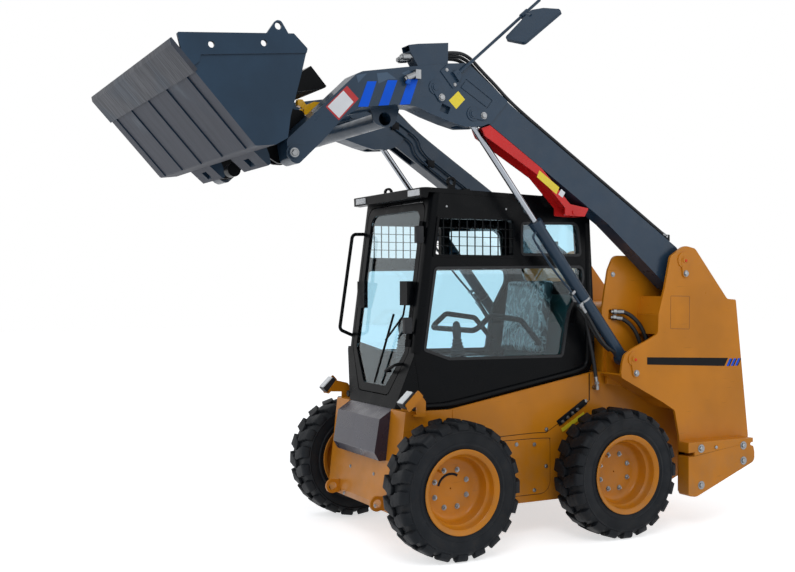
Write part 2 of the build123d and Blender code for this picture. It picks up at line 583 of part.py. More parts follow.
nodes["coupler_frame"] = coupler()
lever_rows = [
    (-1374, 2527, 6), (-1344, 2527, 10), (-1322, 2498, 10), (-1278, 2520, 12), (-1237, 2520, 12), (-1234, 2490, 10),
    (-1289, 2450, 15), (-1344, 2388, 10), (-1365, 2399, 6), (-1333, 2447, 10), (-1338, 2477, 10), (-1371, 2494, 6)]
LEVER_PLATE_X = (TILT_CENTRE_X - 92, TILT_CENTRE_X - 62)
lever = side_plate(lever_rows, *LEVER_PLATE_X)
lever += side_plate([(-1415, 2400, 12), (-1415, 2440, 12), (-1345, 2480, 0), (-1335, 2430, 0), (-1350, 2405, 0)], *LEVER_PLATE_X)
lever += shaft((-1398, 2422), 14, LEVER_PLATE_X[0], TILT_CENTRE_X - LUG_PLATE_GAP / 2 - LUG_PLATE - FIT)
nodes["coupler_levers"] = both_sides(lever)

wrapper_rows = [
    (-2150, 2592, 0), (-1788, 2193, 18), (-1683, 2206, 20), (*BACK_FOOT, 0), (*BACK_BEND, 0),
    (*BACK_HEAD, 0), (-1518, 2690, 10), (-1591, 2757, 0), (-1598, 2748, 0), (-1530, 2686, 6), (-1559, 2562, 0),
    (-1616, 2350, 0), (-1631, 2249, 0), (-1688, 2217, 10), (-1783, 2204, 10), (-2143, 2599, 0)]
bucket_side_rows = [
    (-2178, 2701, 8), (-1591, 2757, 6), (-1518, 2690, 10), (*BACK_HEAD, 0), (*BACK_BEND, 0), (*BACK_FOOT, 0),
    (-1683, 2206, 20), (-1788, 2193, 18), (-2150, 2592, 0)]
band_rows = [(-2148, 2670, 0), (-2148, 2790, 0), (-1480, 2790, 0), (-1480, 2673, 0), (-2068, 2606, 0)]
cutter_rows = [(-2200, 2720, 0), (-2140, 2720, 0), (-2064, 2606, 0), (-2068, 2575, 0), (-2113, 2540, 0), (-2200, 2560, 0)]
FLOOR_RUN = ((-2092, 2528), (-1790, 2195))
RIB_X = (0.86, 0.43, 0, -0.43, -0.86)
WALL_X = (BUCKET_HALF - BAND - BUCKET_WALL, BUCKET_HALF - BAND)
bucket = side_plate(wrapper_rows, -WALL_X[0], WALL_X[0])
run_y, run_z, run_length = direction(*FLOOR_RUN)
for share in RIB_X:
    x = share * WALL_X[0]
    bucket += side_plate([(*FLOOR_RUN[0], 0), (FLOOR_RUN[0][0] + 8 * run_z, FLOOR_RUN[0][1] - 8 * run_y, 0),
                          (FLOOR_RUN[1][0] + 8 * run_z, FLOOR_RUN[1][1] - 8 * run_y, 0), (*FLOOR_RUN[1], 0),
                          (FLOOR_RUN[1][0], FLOOR_RUN[1][1] + 12, 0), (FLOOR_RUN[0][0], FLOOR_RUN[0][1] + 12, 0)], x - 7, x + 7)
LIP_X = (184, 556)
LIP_POCKET = (330, 408)
lip_rows = [(-1692, 2212, 0), (-1606, 2138, 0), (-1592, 2148, 0), (-1601, 2196, 0), (-1622, 2244, 0), (-1660, 2232, 0)]
for side in (1, -1):
    bucket += side_plate(lip_rows, *sorted((side * LIP_X[0], side * LIP_X[1])))
    bucket -= block(sorted((side * LIP_POCKET[0], side * LIP_POCKET[1])), (-1662, -1620), (2100, 2206))
lug_y, lug_z = LIFT_LUG
lift_lug_rows = [(lug_y - 62, lug_z - 45, 0), (lug_y - 12, lug_z + 28, 22), (lug_y + 14, lug_z + 28, 22), (lug_y + 62, lug_z - 45, 0)]
for side in (1, -1):
    wall = sorted((side * WALL_X[0], side * WALL_X[1]))
    band = sorted((side * WALL_X[1], side * BUCKET_HALF))
    through = sorted((side * WALL_X[0], side * BUCKET_HALF))
    doubler = side_plate(bucket_side_rows, *band) & (side_plate(band_rows, *band) + side_plate(cutter_rows, *band))
    plate = side_plate(bucket_side_rows, *wall) + doubler
    plate += side_plate(lift_lug_rows, *through)
    plate -= shaft(LIFT_LUG, LIFT_LUG_HOLE, *through)
    for hole in SIDE_HOLES:
        plate -= shaft(hole, SIDE_HOLE, *through)
    bucket += plate
edge_rows = [(-2080, 2536, 0), (-2205, 2674, 0), (-2212, 2668, 0), (-2206, 2640, 0), (-2095, 2518, 0)]
nodes["cutting_edge"] = side_plate(edge_rows, -BUCKET_HALF, BUCKET_HALF)
nodes["bucket_shell"] = bucket - nodes["cutting_edge"]

# ------------------------------------------------------------------ cab
FRONT_ROOF_Y = -560
FRONT_KINK_Y = -685
FRONT_FOOT_Y = -741
front_line = [(FRONT_ROOF_Y, CAB_ROOF_Z), (FRONT_KINK_Y, DOOR_KINK_Z), (FRONT_FOOT_Y, BELT_FRONT_Z)]


def front_skin(depth_from, depth_to):
    """Slab that follows the cab's front profile, between two depths behind it."""
    rows = [(y + depth_from, z, 0) for y, z in front_line]
    rows += [(y + depth_to, z, 0) for y, z in reversed(front_line)]
    return side_plate(rows, -600, 600)


def door_outline(inset):
    """Front outline of the door, moved inwards by an inset."""
    half, foot = DOOR_HALF - inset, DOOR_BOTTOM_HALF - inset
    return [(-half, DOOR_TOP_Z - inset, 70), (-half, DOOR_KINK_Z, 60), (-foot, DOOR_BOTTOM_Z + inset, 40),
            (foot, DOOR_BOTTOM_Z + inset, 40), (half, DOOR_KINK_Z, 60), (half, DOOR_TOP_Z - inset, 70)]


side_rows = [
    (-640, BELT_FRONT_Z, 0), (BELT_FRONT_Y, BELT_FRONT_Z, 0), (BELT_REAR_Y, BELT_REAR_Z, 0), (600, 1085, 20),
    (585, 1504, 0), (556, CAB_ROOF_Z - 30, 0), (FRONT_ROOF_Y, CAB_ROOF_Z, 0), (FRONT_KINK_Y, DOOR_KINK_Z, 0), (-640, 850, 0)]
upper_window = [(-520, 1900, 20), (-15, 1902, 20), (-15, 1692, 20), (-548, 1692, 20)]
rear_window = [(45, 1895, 30), (475, 1905, 50), (500, 1692, 30), (45, 1692, 30)]
lower_window = [(-551, 1622, 25), (513, 1637, 40), (521, 1539, 30), (407, 1345, 40), (358, 1072, 25), (-453, 1082, 15), (-624, 1141, 15)]
back_window = [(-300, 1930, 60), (300, 1930, 60), (300, 1540, 60), (-300, 1540, 60)]


def cab_frame():
    """Welded cage: side walls with window openings, front pillars and back wall."""
    outer = front_plate([
        (-CAB_FOOT_HALF, 800, 0), (CAB_FOOT_HALF, 800, 0), (CAB_HALF, DOOR_KINK_Z - 20, 0), (CAB_HALF, CAB_ROOF_Z, 0),
        (-CAB_HALF, CAB_ROOF_Z, 0), (-CAB_HALF, DOOR_KINK_Z - 20, 0)], -800, -500)
    door_hole = front_plate(door_outline(-DOOR_GAP), -800, -500)
    body = (outer & front_skin(0, 50)) - door_hole
    for side in (1, -1):
        x = sorted((side * (CAB_HALF - CAB_WALL), side * CAB_HALF))
        wall = side_plate(side_rows, *x)
        for window in (upper_window, rear_window, lower_window):
            wall -= side_plate(window, *x)
        body += wall
        edge = [(side * CAB_HALF, FRONT_KINK_Y, DOOR_KINK_Z - 20), (side * CAB_HALF, -640, BELT_FRONT_Z),
                (side * CAB_FOOT_HALF, FRONT_FOOT_Y + 1, BELT_FRONT_Z)]
        skin = make_face(Polyline(*edge, close=True))
        thick = extrude(skin, 16, dir=(-side * 0.3, 0.9, 0.1))
        body += thick
        corner = Vector(side * CAB_HALF, FRONT_KINK_Y, DOOR_KINK_Z)
        rise = Vector(side * CAB_HALF, FRONT_ROOF_Y, CAB_ROOF_Z) - corner
        across = Plane(origin=corner, x_dir=(side, 0, 0), z_dir=rise)
        reach = PILLAR_RADIUS
        inward = 1 if (across.y_dir.Y > 0) else -1
        square = Pos(-reach / 2, inward * reach / 2) * Rectangle(reach, reach)
        quarter = square - Pos(-reach, inward * reach) * Circle(reach)
        body -= extrude(across * quarter, rise.length + 40) + extrude(across * quarter, -4)
    back = side_plate([(556, 985, 0), (600, 1085, 0), (585, 1504, 0), (556, CAB_ROOF_Z - 30, 0),
                       (530, CAB_ROOF_Z - 30, 0), (558, 1504, 0), (572, 1085, 0), (540, 985, 0)],
                      -CAB_HALF + CAB_WALL, CAB_HALF - CAB_WALL)
    body += back - front_plate(back_window, 400, 700)
    return body


roof_rows = [(-640, CAB_ROOF_Z - 28, 0), (-598, CAB_ROOF_Z - 32, 0), (-590, CAB_ROOF_Z, 0), (FRONT_ROOF_Y, CAB_ROOF_Z, 0), (556, CAB_ROOF_Z - 30, 0), (570, CAB_ROOF_Z - 28, 0),
             (560, CAB_ROOF_Z - 2, 8), (-600, CAB_ROOF_Z + 28, 10), (-642, CAB_ROOF_Z + 25, 6)]
roof = side_plate(roof_rows, -CAB_HALF - 4, CAB_HALF + 4)
roof_lamps = []
for x in (-340, 360):
    roof -= block((x - 69, x + 69), (-660, -632), (2028, 2069))
    roof_lamps.append(block((x - 66, x + 66), (-646, -632), (2031, 2066)))
EYE_PLACE = (-415, 2118)
for side in (1, -1):
    roof += block(sorted((side * 392, side * 408)), (EYE_PLACE[0] - 22, EYE_PLACE[0] + 22), (2060, 2104))
    roof += shaft(EYE_PLACE, 30, *sorted((side * 392, side * 408)))
    roof -= shaft(EYE_PLACE, 16, *sorted((side * 392, side * 408)))
beacon_rows = [(0, 2052, 0), (26, 2052, 0), (26, 2090, 0), (0, 2090, 0)]
roof += Pos(200, 406, 0) * revolve(Plane.XZ * outline(beacon_rows), Axis.Z)
nodes["cab_roof"] = roof
dome_rows = [(0, 2090, 0), (22, 2090, 0), (22, 2110, 0), (12, 2126, 0), (0, 2126, 0)]
nodes["beacon"] = Pos(200, 406, FIT) * revolve(Plane.XZ * outline(dome_rows), Axis.Z)
nodes["cab_frame"] = cab_frame() - nodes["cab_roof"]

panes = []
for side in (1, -1):
    for window in (rear_window, lower_window):
        middle = side * (CAB_HALF - CAB_WALL / 2)
        panes.append(side_plate(window, middle - GLASS / 2, middle + GLASS / 2))
back_pane = front_plate(back_window, 400, 700) & side_plate(
    [(578, 1504, 0), (547, CAB_ROOF_Z - 30, 0), (541, CAB_ROOF_Z - 30, 0), (572, 1504, 0)], -500, 500)
nodes["cab_glass"] = group(*panes, back_pane)

door_hull = front_plate(door_outline(0), -800, -500) & front_skin(0, DOOR_THICKNESS)
nodes["door_frame"] = door_hull - front_plate(door_outline(DOOR_RAIL), -800, -500)
pane = front_plate(door_outline(DOOR_RAIL), -800, -500) & front_skin(10, 10 + GLASS)
nodes["door_glass"] = pane

guard_bars = []
GUARD_BARS = 9
for side in (1, -1):
    x = sorted((side * CAB_HALF, side * (CAB_HALF + 8)))
    rim_rows = [(-534, 1912, 10), (0, 1915, 10), (0, 1680, 10), (-565, 1680, 10)]
    hole_rows = [(-520, 1900, 6), (-12, 1902, 6), (-12, 1693, 6), (-547, 1693, 6)]
    screen = side_plate(rim_rows, *x) - side_plate(hole_rows, *x)
    for i in range(1, GUARD_BARS + 1):
        y = -547 + i * 53.5
        screen += block(x, (y - 2, y + 2), (1685, 1905))
    for i in range(1, 4):
        z = 1693 + i * 52
        screen += block(x, (-540, -8), (z - 2, z + 2))
    guard_bars.append(screen)
nodes["window_guards"] = group(*guard_bars)

# ------------------------------------------------------------------ hinges
HINGE_PIN = 7
HINGE_KNUCKLE = 13
DOOR_HINGE_X = DOOR_HALF + DOOR_GAP / 2
DOOR_HINGE_STAND = 15
GATE_HINGE_X = GATE_HALF + 6
GATE_HINGE_STAND = 15


def hinge(point, run, leaf_half, heights, towards_leaf, towards_frame):
    """Knuckles for the leaf and pins for the frame on one axis, as two shapes."""
    leaf, frame = Part(), Part()
    for height in heights:
        lower = point + run * (height - leaf_half)
        middle = point + run * height
        upper = point + run * (height + leaf_half)
        leaf += rod(middle + run * FIT, upper, HINGE_KNUCKLE) - rod(middle, upper - run * 6, HINGE_PIN + FIT)
        frame += rod(lower, middle, HINGE_KNUCKLE) + rod(lower, upper - run * 8, HINGE_PIN)
        for share in (0.5, 1):
            reach = towards_leaf * share
            foot = rod(middle + run * FIT + reach, upper + reach, HINGE_KNUCKLE - 3)
            leaf += foot - rod(middle, upper - run * 6, HINGE_PIN + FIT)
            reach = towards_frame * share
            frame += rod(lower + reach, middle + reach - run * 3, HINGE_KNUCKLE - 3)
    return leaf, frame


door_run = Vector(0, front_line[0][0] - front_line[1][0], CAB_ROOF_Z - DOOR_KINK_Z).normalized()
door_hinge_point = Vector(DOOR_HINGE_X, front_line[1][0] - DOOR_HINGE_STAND, DOOR_KINK_Z)
leaf, frame = hinge(door_hinge_point, door_run, 45, (80, 720), Vector(-14, 9, 0), Vector(14, 9, 0))
nodes["door_frame"] += leaf
nodes["cab_frame"] += frame
gate_run = Vector(0, 1580 - 1646, 1330 - 640).normalized()
gate_hinge_point = Vector(GATE_HINGE_X, 1646 + GATE_HINGE_STAND, 640)
leaf, frame = hinge(gate_hinge_point, gate_run, 40, (80, 560), Vector(-14, -10, 0), Vector(20, -22, 0))
nodes["tailgate"] += leaf
nodes["tower_left"] += frame

# ------------------------------------------------------------------ inside the cab
SEAT_Z = 900
SEAT_HALF = 240
floor_half = COVER_HALF - 12
nodes["cab_floor"] = block((-floor_half, floor_half), (COVER_TOP[0] + 50, -500), (560, 572)) + \
    block((-CHASSIS_INNER, CHASSIS_INNER), (-500, -100), (560, 572)) + \
    block((-CHASSIS_INNER, CHASSIS_INNER), (-112, -100), (560, 790)) + \
    block((-CAB_HALF + CAB_WALL, CAB_HALF - CAB_WALL), (-112, -100), (790, 900)) + \
    block((-CAB_HALF + CAB_WALL, CAB_HALF - CAB_WALL), (-112, 530), (888, 900))
nodes["seat_cushion"] = block((-SEAT_HALF, SEAT_HALF), (-80, 400), (SEAT_Z, SEAT_Z + 160))
nodes["seat_back"] = side_plate([(410, SEAT_Z + 160 + FIT, 10), (480, 1560, 40), (380, 1580, 40), (300, SEAT_Z + 160 + FIT, 10)], -SEAT_HALF + 10, SEAT_HALF - 10)
LAP_RADIUS = 17
LAP_HALF = SEAT_HALF + 30
lap_side = [(300, 1150), (160, 1300), (-60, 1330), (-170, 1240)]
lap_points = [(LAP_HALF, *point) for point in lap_side] + [(-LAP_HALF, *point) for point in reversed(lap_side)]
CONSOLE_X = (CAB_HALF - 160, CAB_HALF - 40)
LEVER_X = CAB_HALF - 100
consoles = side_plate([(-420, 1040, 20), (200, 1060, 20), (200, SEAT_Z, 0), (-80, SEAT_Z, 0), (-300, 960, 30)], *CONSOLE_X)
nodes["side_consoles"] = both_sides(consoles)
nodes["rear_panel"] = side_plate([(470, SEAT_Z, 0), (529, SEAT_Z, 0), (529, 1400, 30), (515, 1480, 8), (490, 1400, 60)], -CAB_HALF + 45, CAB_HALF - 45)
bellows = [(0, 0, 0), (44, 0, 0), (44, 12, 0)]
for i in range(4):
    wide = 42 - i * 6
    bellows += [(wide, 16 + i * 25, 0), (wide - 12, 29 + i * 25, 0)]
bellows += [(14, 122, 0), (14, 150, 0), (24, 165, 0), (27, 215, 0), (20, 250, 0), (8, 262, 0), (0, 262, 0)]
lever = revolve(Plane.XZ * outline(bellows), Axis.Z)
nodes["control_levers"] = both_sides(Pos(LEVER_X, -330, 1041.5) * (Rot(X=4) * lever) - consoles)

# ------------------------------------------------------------------ small outside pieces
LAMP_X = (505, 572)
LAMP_FACE = ((-832, 857), (-760, 925))
LAMP_BACK = ((-729, 893), (-801, 825))
lamp = side_plate([(*LAMP_FACE[0], 4), (*LAMP_FACE[1], 4), (*LAMP_BACK[0], 12), (*LAMP_BACK[1], 12)], *LAMP_X)
lamp -= side_plate([(-832, 865, 0), (-768, 925, 0), (-762, 919, 0), (-826, 859, 0)], LAMP_X[0] + 5, LAMP_X[1] - 5)
nodes["lamps"] = both_sides(lamp)
lens = side_plate([(-833, 866, 0), (-769, 926, 0), (-763, 919, 0), (-827, 859, 0)], LAMP_X[0] + 5 + FIT, LAMP_X[1] - 5 - FIT) - lamp
nodes["lamp_lenses"] = group(both_sides(lens), *roof_lamps)
inner_x = (LAMP_X[0] - 8 - FIT, LAMP_X[0] - FIT)
outer_x = (LAMP_X[1] + FIT, LAMP_X[1] + 8 + FIT)
bracket = side_plate([(-802, 835, 0), (-745, 905, 0), (-665, 885, 10), (-645, 860, 10), (-645, 785, 0), (-705, 785, 0), (-705, 830, 0)], *inner_x)
bracket += side_plate([(-816, 855, 6), (-734, 933, 6), (-703, 900, 6), (-792, 813, 6)], *outer_x)
bracket += side_plate([(-800.8, 824.8, 0), (-728.8, 892.8, 0), (-724.7, 888.4, 0), (-796.7, 820.4, 0)], inner_x[0], outer_x[1])
bracket += block((CHASSIS_HALF + FIT, inner_x[1]), (-705, -645), (775, 787))
nodes["lamp_brackets"] = both_sides(bracket)

# grab rail, handles and wiper: points (x, y, z), one row a bend
GRAB_RADIUS = 11


def bent_bar(points, radius, bend):
    """Round bar through points, with every bend rounded."""
    path = FilletPolyline(*points, radius=bend)
    return sweep(Plane(origin=path @ 0, z_dir=path % 0) * Circle(radius), path=path)


def front_y(z):
    """Depth of the cab's front face at a height."""
    (y0, z0), (y1, z1) = front_line[:2] if z > DOOR_KINK_Z else front_line[1:]
    return y0 + (y1 - y0) * (z - z0) / (z1 - z0)


RAIL_X = -CAB_HALF + 25
lap_bar = bent_bar(lap_points, LAP_RADIUS, 45)
for side in (1, -1):
    lap_bar += rod((side * LAP_HALF, 300, 1150), (side * (SEAT_HALF - 10 + FIT), 300, 1150), LAP_RADIUS - 4)
nodes["lap_bar"] = lap_bar
rail = bent_bar([(RAIL_X, front_y(1844) + 10, 1844), (RAIL_X, -666, 1842), (RAIL_X, -758, 1235), (RAIL_X, front_y(1199) + 10, 1195)], GRAB_RADIUS, 30)
nodes["grab_rail"] = rail - nodes["cab_frame"]
handle = bent_bar([(322, front_y(1061), 1061), (318, front_y(1061) - 45, 1058), (192, front_y(1020) - 45, 1012), (189, front_y(1020), 1015)], 9, 18)
latch = block((-345, -245), (front_y(1457) - 26, front_y(1457) - 1), (1375, 1540))
nodes["door_handles"] = (handle + latch) - nodes["door_frame"] - nodes["door_glass"] - nodes["cab_frame"]
wiper = bent_bar([(310, front_y(1440) - 24, 1440), (300, front_y(1337) - 24, 1337), (116, front_y(1190) - 24, 1190)], 6, 30)
wiper += rod((34, front_y(933) - 16, 933), (165, front_y(1345) - 16, 1345), 7)
wiper += block((262, 352), (front_y(1470) - 44, front_y(1470) - 1), (1400, 1540))
nodes["wiper"] = wiper - nodes["door_frame"] - nodes["door_glass"]

# ------------------------------------------------------------------ pieces carried by the arms
bar_rows = [
    (-345, 2408, 0), (-291, 2427, 0), (68, 2198.6, 0), (273, 1997, 20), (410, 1976, 6), (380, 1926, 6), (235, 1930, 10),
    (236, 1975, 10), (56, 2150, 0), (-323, 2364, 0)]
bar_inside = [
    (-400, 2600, 0), (-142, 2600, 0), (-142, 2324, 0), (64, 2190, 0), (268, 1988, 0), (372, 1973, 0), (352, 1934, 0), (352, 1800, 0), (-400, 1800, 0)]
BAR_X = (ARM_CENTRE_X - ARM_WIDTH / 2 + 2, ARM_CENTRE_X + ARM_WIDTH / 2 - 2)
lock_bar = side_plate(bar_rows, *BAR_X) - side_plate(bar_inside, BAR_X[0] + 7, BAR_X[1] - 7)
lock_bar += shaft((301, 1948), 12, BAR_X[0] - 4, BAR_X[1] + 6)
nodes["arm_lock_bar"] = lock_bar - nodes["arm_left"]

KNEE_OUT = ARM_CENTRE_X + KNEE_WIDTH / 2
stalk_x = KNEE_OUT + 15
mirror_bar = rod((stalk_x, *MIRROR_FOOT), (stalk_x, *MIRROR_TIP), MIRROR_STALK_RADIUS)
mirror_bar += side_plate([(-578, 2746, 8), (-501, 2643, 8), (-546, 2611, 8), (-628, 2703, 8)], KNEE_OUT + FIT, KNEE_OUT + 6)
mirror_bar += side_plate([(-556, 2700, 0), (-515, 2650, 0), (-500, 2690, 8), (-522, 2720, 8)], KNEE_OUT + 3, stalk_x + 8)
run_y, run_z, _ = direction(MIRROR_FOOT, MIRROR_TIP)
clamp = (stalk_x, -73, 3080)
mirror_bar += rod((stalk_x, -73 - 28 * run_y, 3080 - 28 * run_z), (stalk_x, -73 + 28 * run_y, 3080 + 28 * run_z), 17)
mirror_bar += rod(clamp, (712, -68, 3056), 11)
nodes["mirror_stalk"] = mirror_bar - nodes["arm_left"]
head_plane = Plane(origin=(665, -73, 3080), x_dir=(0.8, 0.53, 0.0), z_dir=(-0.45, 0.68, -0.58))
head_corners = [(658, -212, 2915), (787, -164, 2871), (857, 41, 3057), (837, 41, 3072), (746, -1, 3094), (684, -44, 3091)]
flat = [head_plane.to_local_coords(Vector(*corner)) for corner in head_corners]
head_rows = [(v.X, v.Y, r) for v, r in zip(flat, (22, 22, 10, 8, 30, 20))]
head = extrude(head_plane * outline(head_rows), 14) + extrude(head_plane * outline(head_rows), -8)
nodes["mirror_head"] = head - nodes["mirror_stalk"]

box_rows = [(-822, 2828, 0), (-764, 2840, 0), (-573, 2865, 0), (-576, 2750.5, 0), (-766, 2718.3, 0), (-812, 2790, 0)]
box_inside = [(-840, 2822, 0), (-764, 2835, 0), (-578, 2859, 0), (-580, 2756, 0), (-764, 2725, 0), (-812, 2798, 0), (-840, 2798, 0)]
outlet = side_plate(box_rows, KNEE_OUT - 88, KNEE_OUT - 2) - side_plate(box_inside, KNEE_OUT - 83, KNEE_OUT - 7)
nodes["outlet_box"] = outlet - nodes["arm_left"]
quick = []
for x, y, z in ((KNEE_OUT - 20, -770, 2775), (KNEE_OUT - 60, -770, 2765)):
    coupling = rod((x, y + 10, z), (x, y - 40, z - 6), 13) + rod((x, y - 40, z - 6), (x, y - 85, z - 12), 18)
    coupling += rod((x, y - 85, z - 12), (x, y - 96, z - 13), 12)
    quick.append(coupling)
side_x = KNEE_OUT + 22
side_block = block((KNEE_OUT + FIT, side_x + 16), (-800, -768), (2640, 2690))
side_block += rod((side_x, -795, 2665), (side_x, -850, 2640), 17) + rod((side_x, -850, 2640), (side_x, -862, 2634), 12)
nodes["quick_couplers"] = group(*(q - nodes["outlet_box"] for q in quick), side_block)

# ------------------------------------------------------------------ origin and export
box = group(*nodes.values()).bounding_box()
shift = Pos(-(box.min.X + box.max.X) / 2, -(box.min.Y + box.max.Y) / 2, -box.min.Z)
print("joints", {name: tuple(round(v, 1) for v in (shift * Pos(*at)).position) for name, at in (
    ("arm_pivot", (0, *ARM_PIVOT)), ("lift_base", (ARM_CENTRE_X, *LIFT_BASE)), ("tilt_base", (TILT_CENTRE_X, *TILT_BASE)),
    ("bucket_pin", (0, *BUCKET_PIN)), ("front_wheel", (TYRE_CENTRE_X, AXLE_Y[0], AXLE_Z)),
    ("rear_wheel", (TYRE_CENTRE_X, AXLE_Y[1], AXLE_Z)), ("door_hinge", door_hinge_point),
    ("gate_hinge", gate_hinge_point))})
if __name__ == "__main__":
    os.makedirs("parts", exist_ok=True)
    for name, shape in nodes.items():
        export_step(shift * shape, f"parts/{name}.step")
    print("origin moved by", shift.position)
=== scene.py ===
"""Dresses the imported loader: finishes for its CAD nodes, and the smaller pieces made here."""

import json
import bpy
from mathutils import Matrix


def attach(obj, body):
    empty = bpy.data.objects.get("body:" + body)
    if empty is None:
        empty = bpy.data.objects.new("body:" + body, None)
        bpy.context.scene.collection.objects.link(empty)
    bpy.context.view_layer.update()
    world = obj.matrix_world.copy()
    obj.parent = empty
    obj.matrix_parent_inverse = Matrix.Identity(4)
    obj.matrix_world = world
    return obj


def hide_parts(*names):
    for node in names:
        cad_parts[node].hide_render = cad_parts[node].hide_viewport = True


bl_info = {
    "name": "Skid Steer Loader Dressing",
    "version": (1, 0, 0),
    "blender": (4, 5, 0),
    "location": "3D View > Sidebar > Loader",
    "description": "Paints the loader's frame and adds its tyres, seat, hoses, plates and small fittings",
    "category": "Object",
}

from math import cos, pi, radians, sin

import bmesh
import bpy
from bpy.props import FloatProperty, FloatVectorProperty, IntProperty, PointerProperty
from mathutils import Matrix, Vector

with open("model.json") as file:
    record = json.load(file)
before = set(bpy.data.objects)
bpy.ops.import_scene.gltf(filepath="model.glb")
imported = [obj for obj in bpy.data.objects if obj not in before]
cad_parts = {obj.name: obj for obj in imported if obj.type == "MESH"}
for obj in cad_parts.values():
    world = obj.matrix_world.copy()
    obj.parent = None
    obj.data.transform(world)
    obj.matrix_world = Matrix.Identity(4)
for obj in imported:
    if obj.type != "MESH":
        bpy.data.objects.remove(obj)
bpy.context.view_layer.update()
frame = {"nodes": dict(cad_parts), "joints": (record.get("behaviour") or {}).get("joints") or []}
NODES = frame["nodes"]
PLACES = {joint["name"]: Vector(joint["pos_m"]) for joint in frame["joints"]}
FRONT_AXLE, REAR_AXLE = PLACES["wheel_front_left"], PLACES["wheel_rear_left"]
AXLE_HEIGHT = 387.5
# Pieces are drawn in the loader's own millimetres: from the middle of its wheelbase on the ground.
DATUM = Vector((0.0, (FRONT_AXLE.y + REAR_AXLE.y) / 2, FRONT_AXLE.z - AXLE_HEIGHT / 1000))
TO_FRAME = Matrix.Translation(DATUM) @ Matrix.Scale(0.001, 4)
MIRROR_X = Matrix.Scale(-1, 4, (1, 0, 0))
FROM_FRAME = TO_FRAME.inverted()
SIDED = {1: Matrix.Identity(4), -1: MIRROR_X}
BOTH = tuple(SIDED.values())
OUTWARD = (1, 0, 0)
WHEELS = (
    # wheel, axle, side
    ("front_left", FRONT_AXLE, 1), ("front_right", FRONT_AXLE, -1),
    ("rear_left", REAR_AXLE, 1), ("rear_right", REAR_AXLE, -1))
# Faces that small pieces sit on, measured from the middle plane
ARM_FACE = 640
LOCK_FACE = 626
TOWER_FACE = 678
WEIGHT_FACE = 770
INNER_FACE = 478
CHASSIS_FACE = 462
CAB_FACE = 440
UPPER_PANEL, ACCESS_PANEL = 3.5, 4
# A wheel's disc lies this far inside its middle, and carries its nuts on a circle of this radius
DISC_INSET, NUT_CIRCLE = 18, 110


# ------------------------------------------------------------------ settings
def linear(red, green, blue):
    """A display colour from 0 to 255 as the linear colour that the shaders take."""
    values = (red / 255, green / 255, blue / 255)
    return tuple(v / 12.92 if v <= 0.04045 else ((v + 0.055) / 1.055) ** 2.4 for v in values)


def paint(name, description, *display):
    """A colour property with a display colour as its default."""
    return FloatVectorProperty(
        name=name, description=description, default=linear(*display),
        size=3, min=0.0, max=1.0, subtype="COLOR")


class LoaderPaints(bpy.types.PropertyGroup):
    body: paint("Body yellow", "Paint of the chassis, towers, rims and weights", 190, 118, 16)
    arms: paint("Arm grey", "Blue-grey paint of the arms, barrels and bucket sides", 32, 53, 72)
    cab: paint("Cab black", "Satin paint of the cab and its screens", 5, 7, 10)
    cover: paint("Cover black", "Satin paint of the foot cover", 42, 40, 56)
    lock: paint("Lock red", "Paint of the arm lock bar", 196, 30, 30)
    stripe: paint("Stripe blue", "Colour of the slanted stripes", 6, 84, 208)
    rubber: paint("Tyre rubber", "Colour of the tyres", 14, 18, 23)
    dust: paint("Dust", "Colour of the dust that lies on paint and rubber", 128, 112, 92)
    glass: paint("Glass tint", "Tint of one pane of glass", 212, 240, 250)
    steel: paint("Worn steel", "Bare steel of the bucket's bottom and edge", 66, 69, 78)


def length(name, description, default, low, high):
    """A length property in metres."""
    return FloatProperty(
        name=name, description=description, default=default, min=low, max=high, subtype="DISTANCE", unit="LENGTH")


class LoaderSizes(bpy.types.PropertyGroup):
    lugs: IntProperty(name="Lugs a row", description="Lugs in each of a tyre's two rows", default=20, min=12, max=32)
    wheel_nuts: IntProperty(name="Wheel nuts", description="Nuts that hold one wheel", default=8, min=4, max=12)
    hose: length("Hose", "Outside diameter of a hose", 0.020, 0.008, 0.05)
    pipe: length("Pipe", "Outside diameter of a steel pipe", 0.014, 0.006, 0.04)


class LoaderStage(bpy.types.PropertyGroup):
    lens: FloatProperty(
        name="Lens", description="Focal length of the camera on a 36 mm sensor", default=47.9, min=10, max=200)
    eye: FloatVectorProperty(
        name="Camera place", description="Where the camera stands", size=3, default=(5.717, -3.294, 1.519),
        subtype="TRANSLATION", unit="LENGTH")
    heading: FloatProperty(
        name="Heading", description="Camera's turn about the upright axis", default=radians(62.268),
        subtype="ANGLE")
    sun: FloatProperty(name="Key light", description="Strength of the key light", default=1.35, min=0, max=20)
    sky: FloatProperty(name="Sky light", description="Strength of the light from all around", default=0.55, min=0,
        max=5)
    floor_lift: FloatProperty(
        name="Floor lift", description="White that the floor shows on top of its own light", default=0.62,
        min=0, max=1)


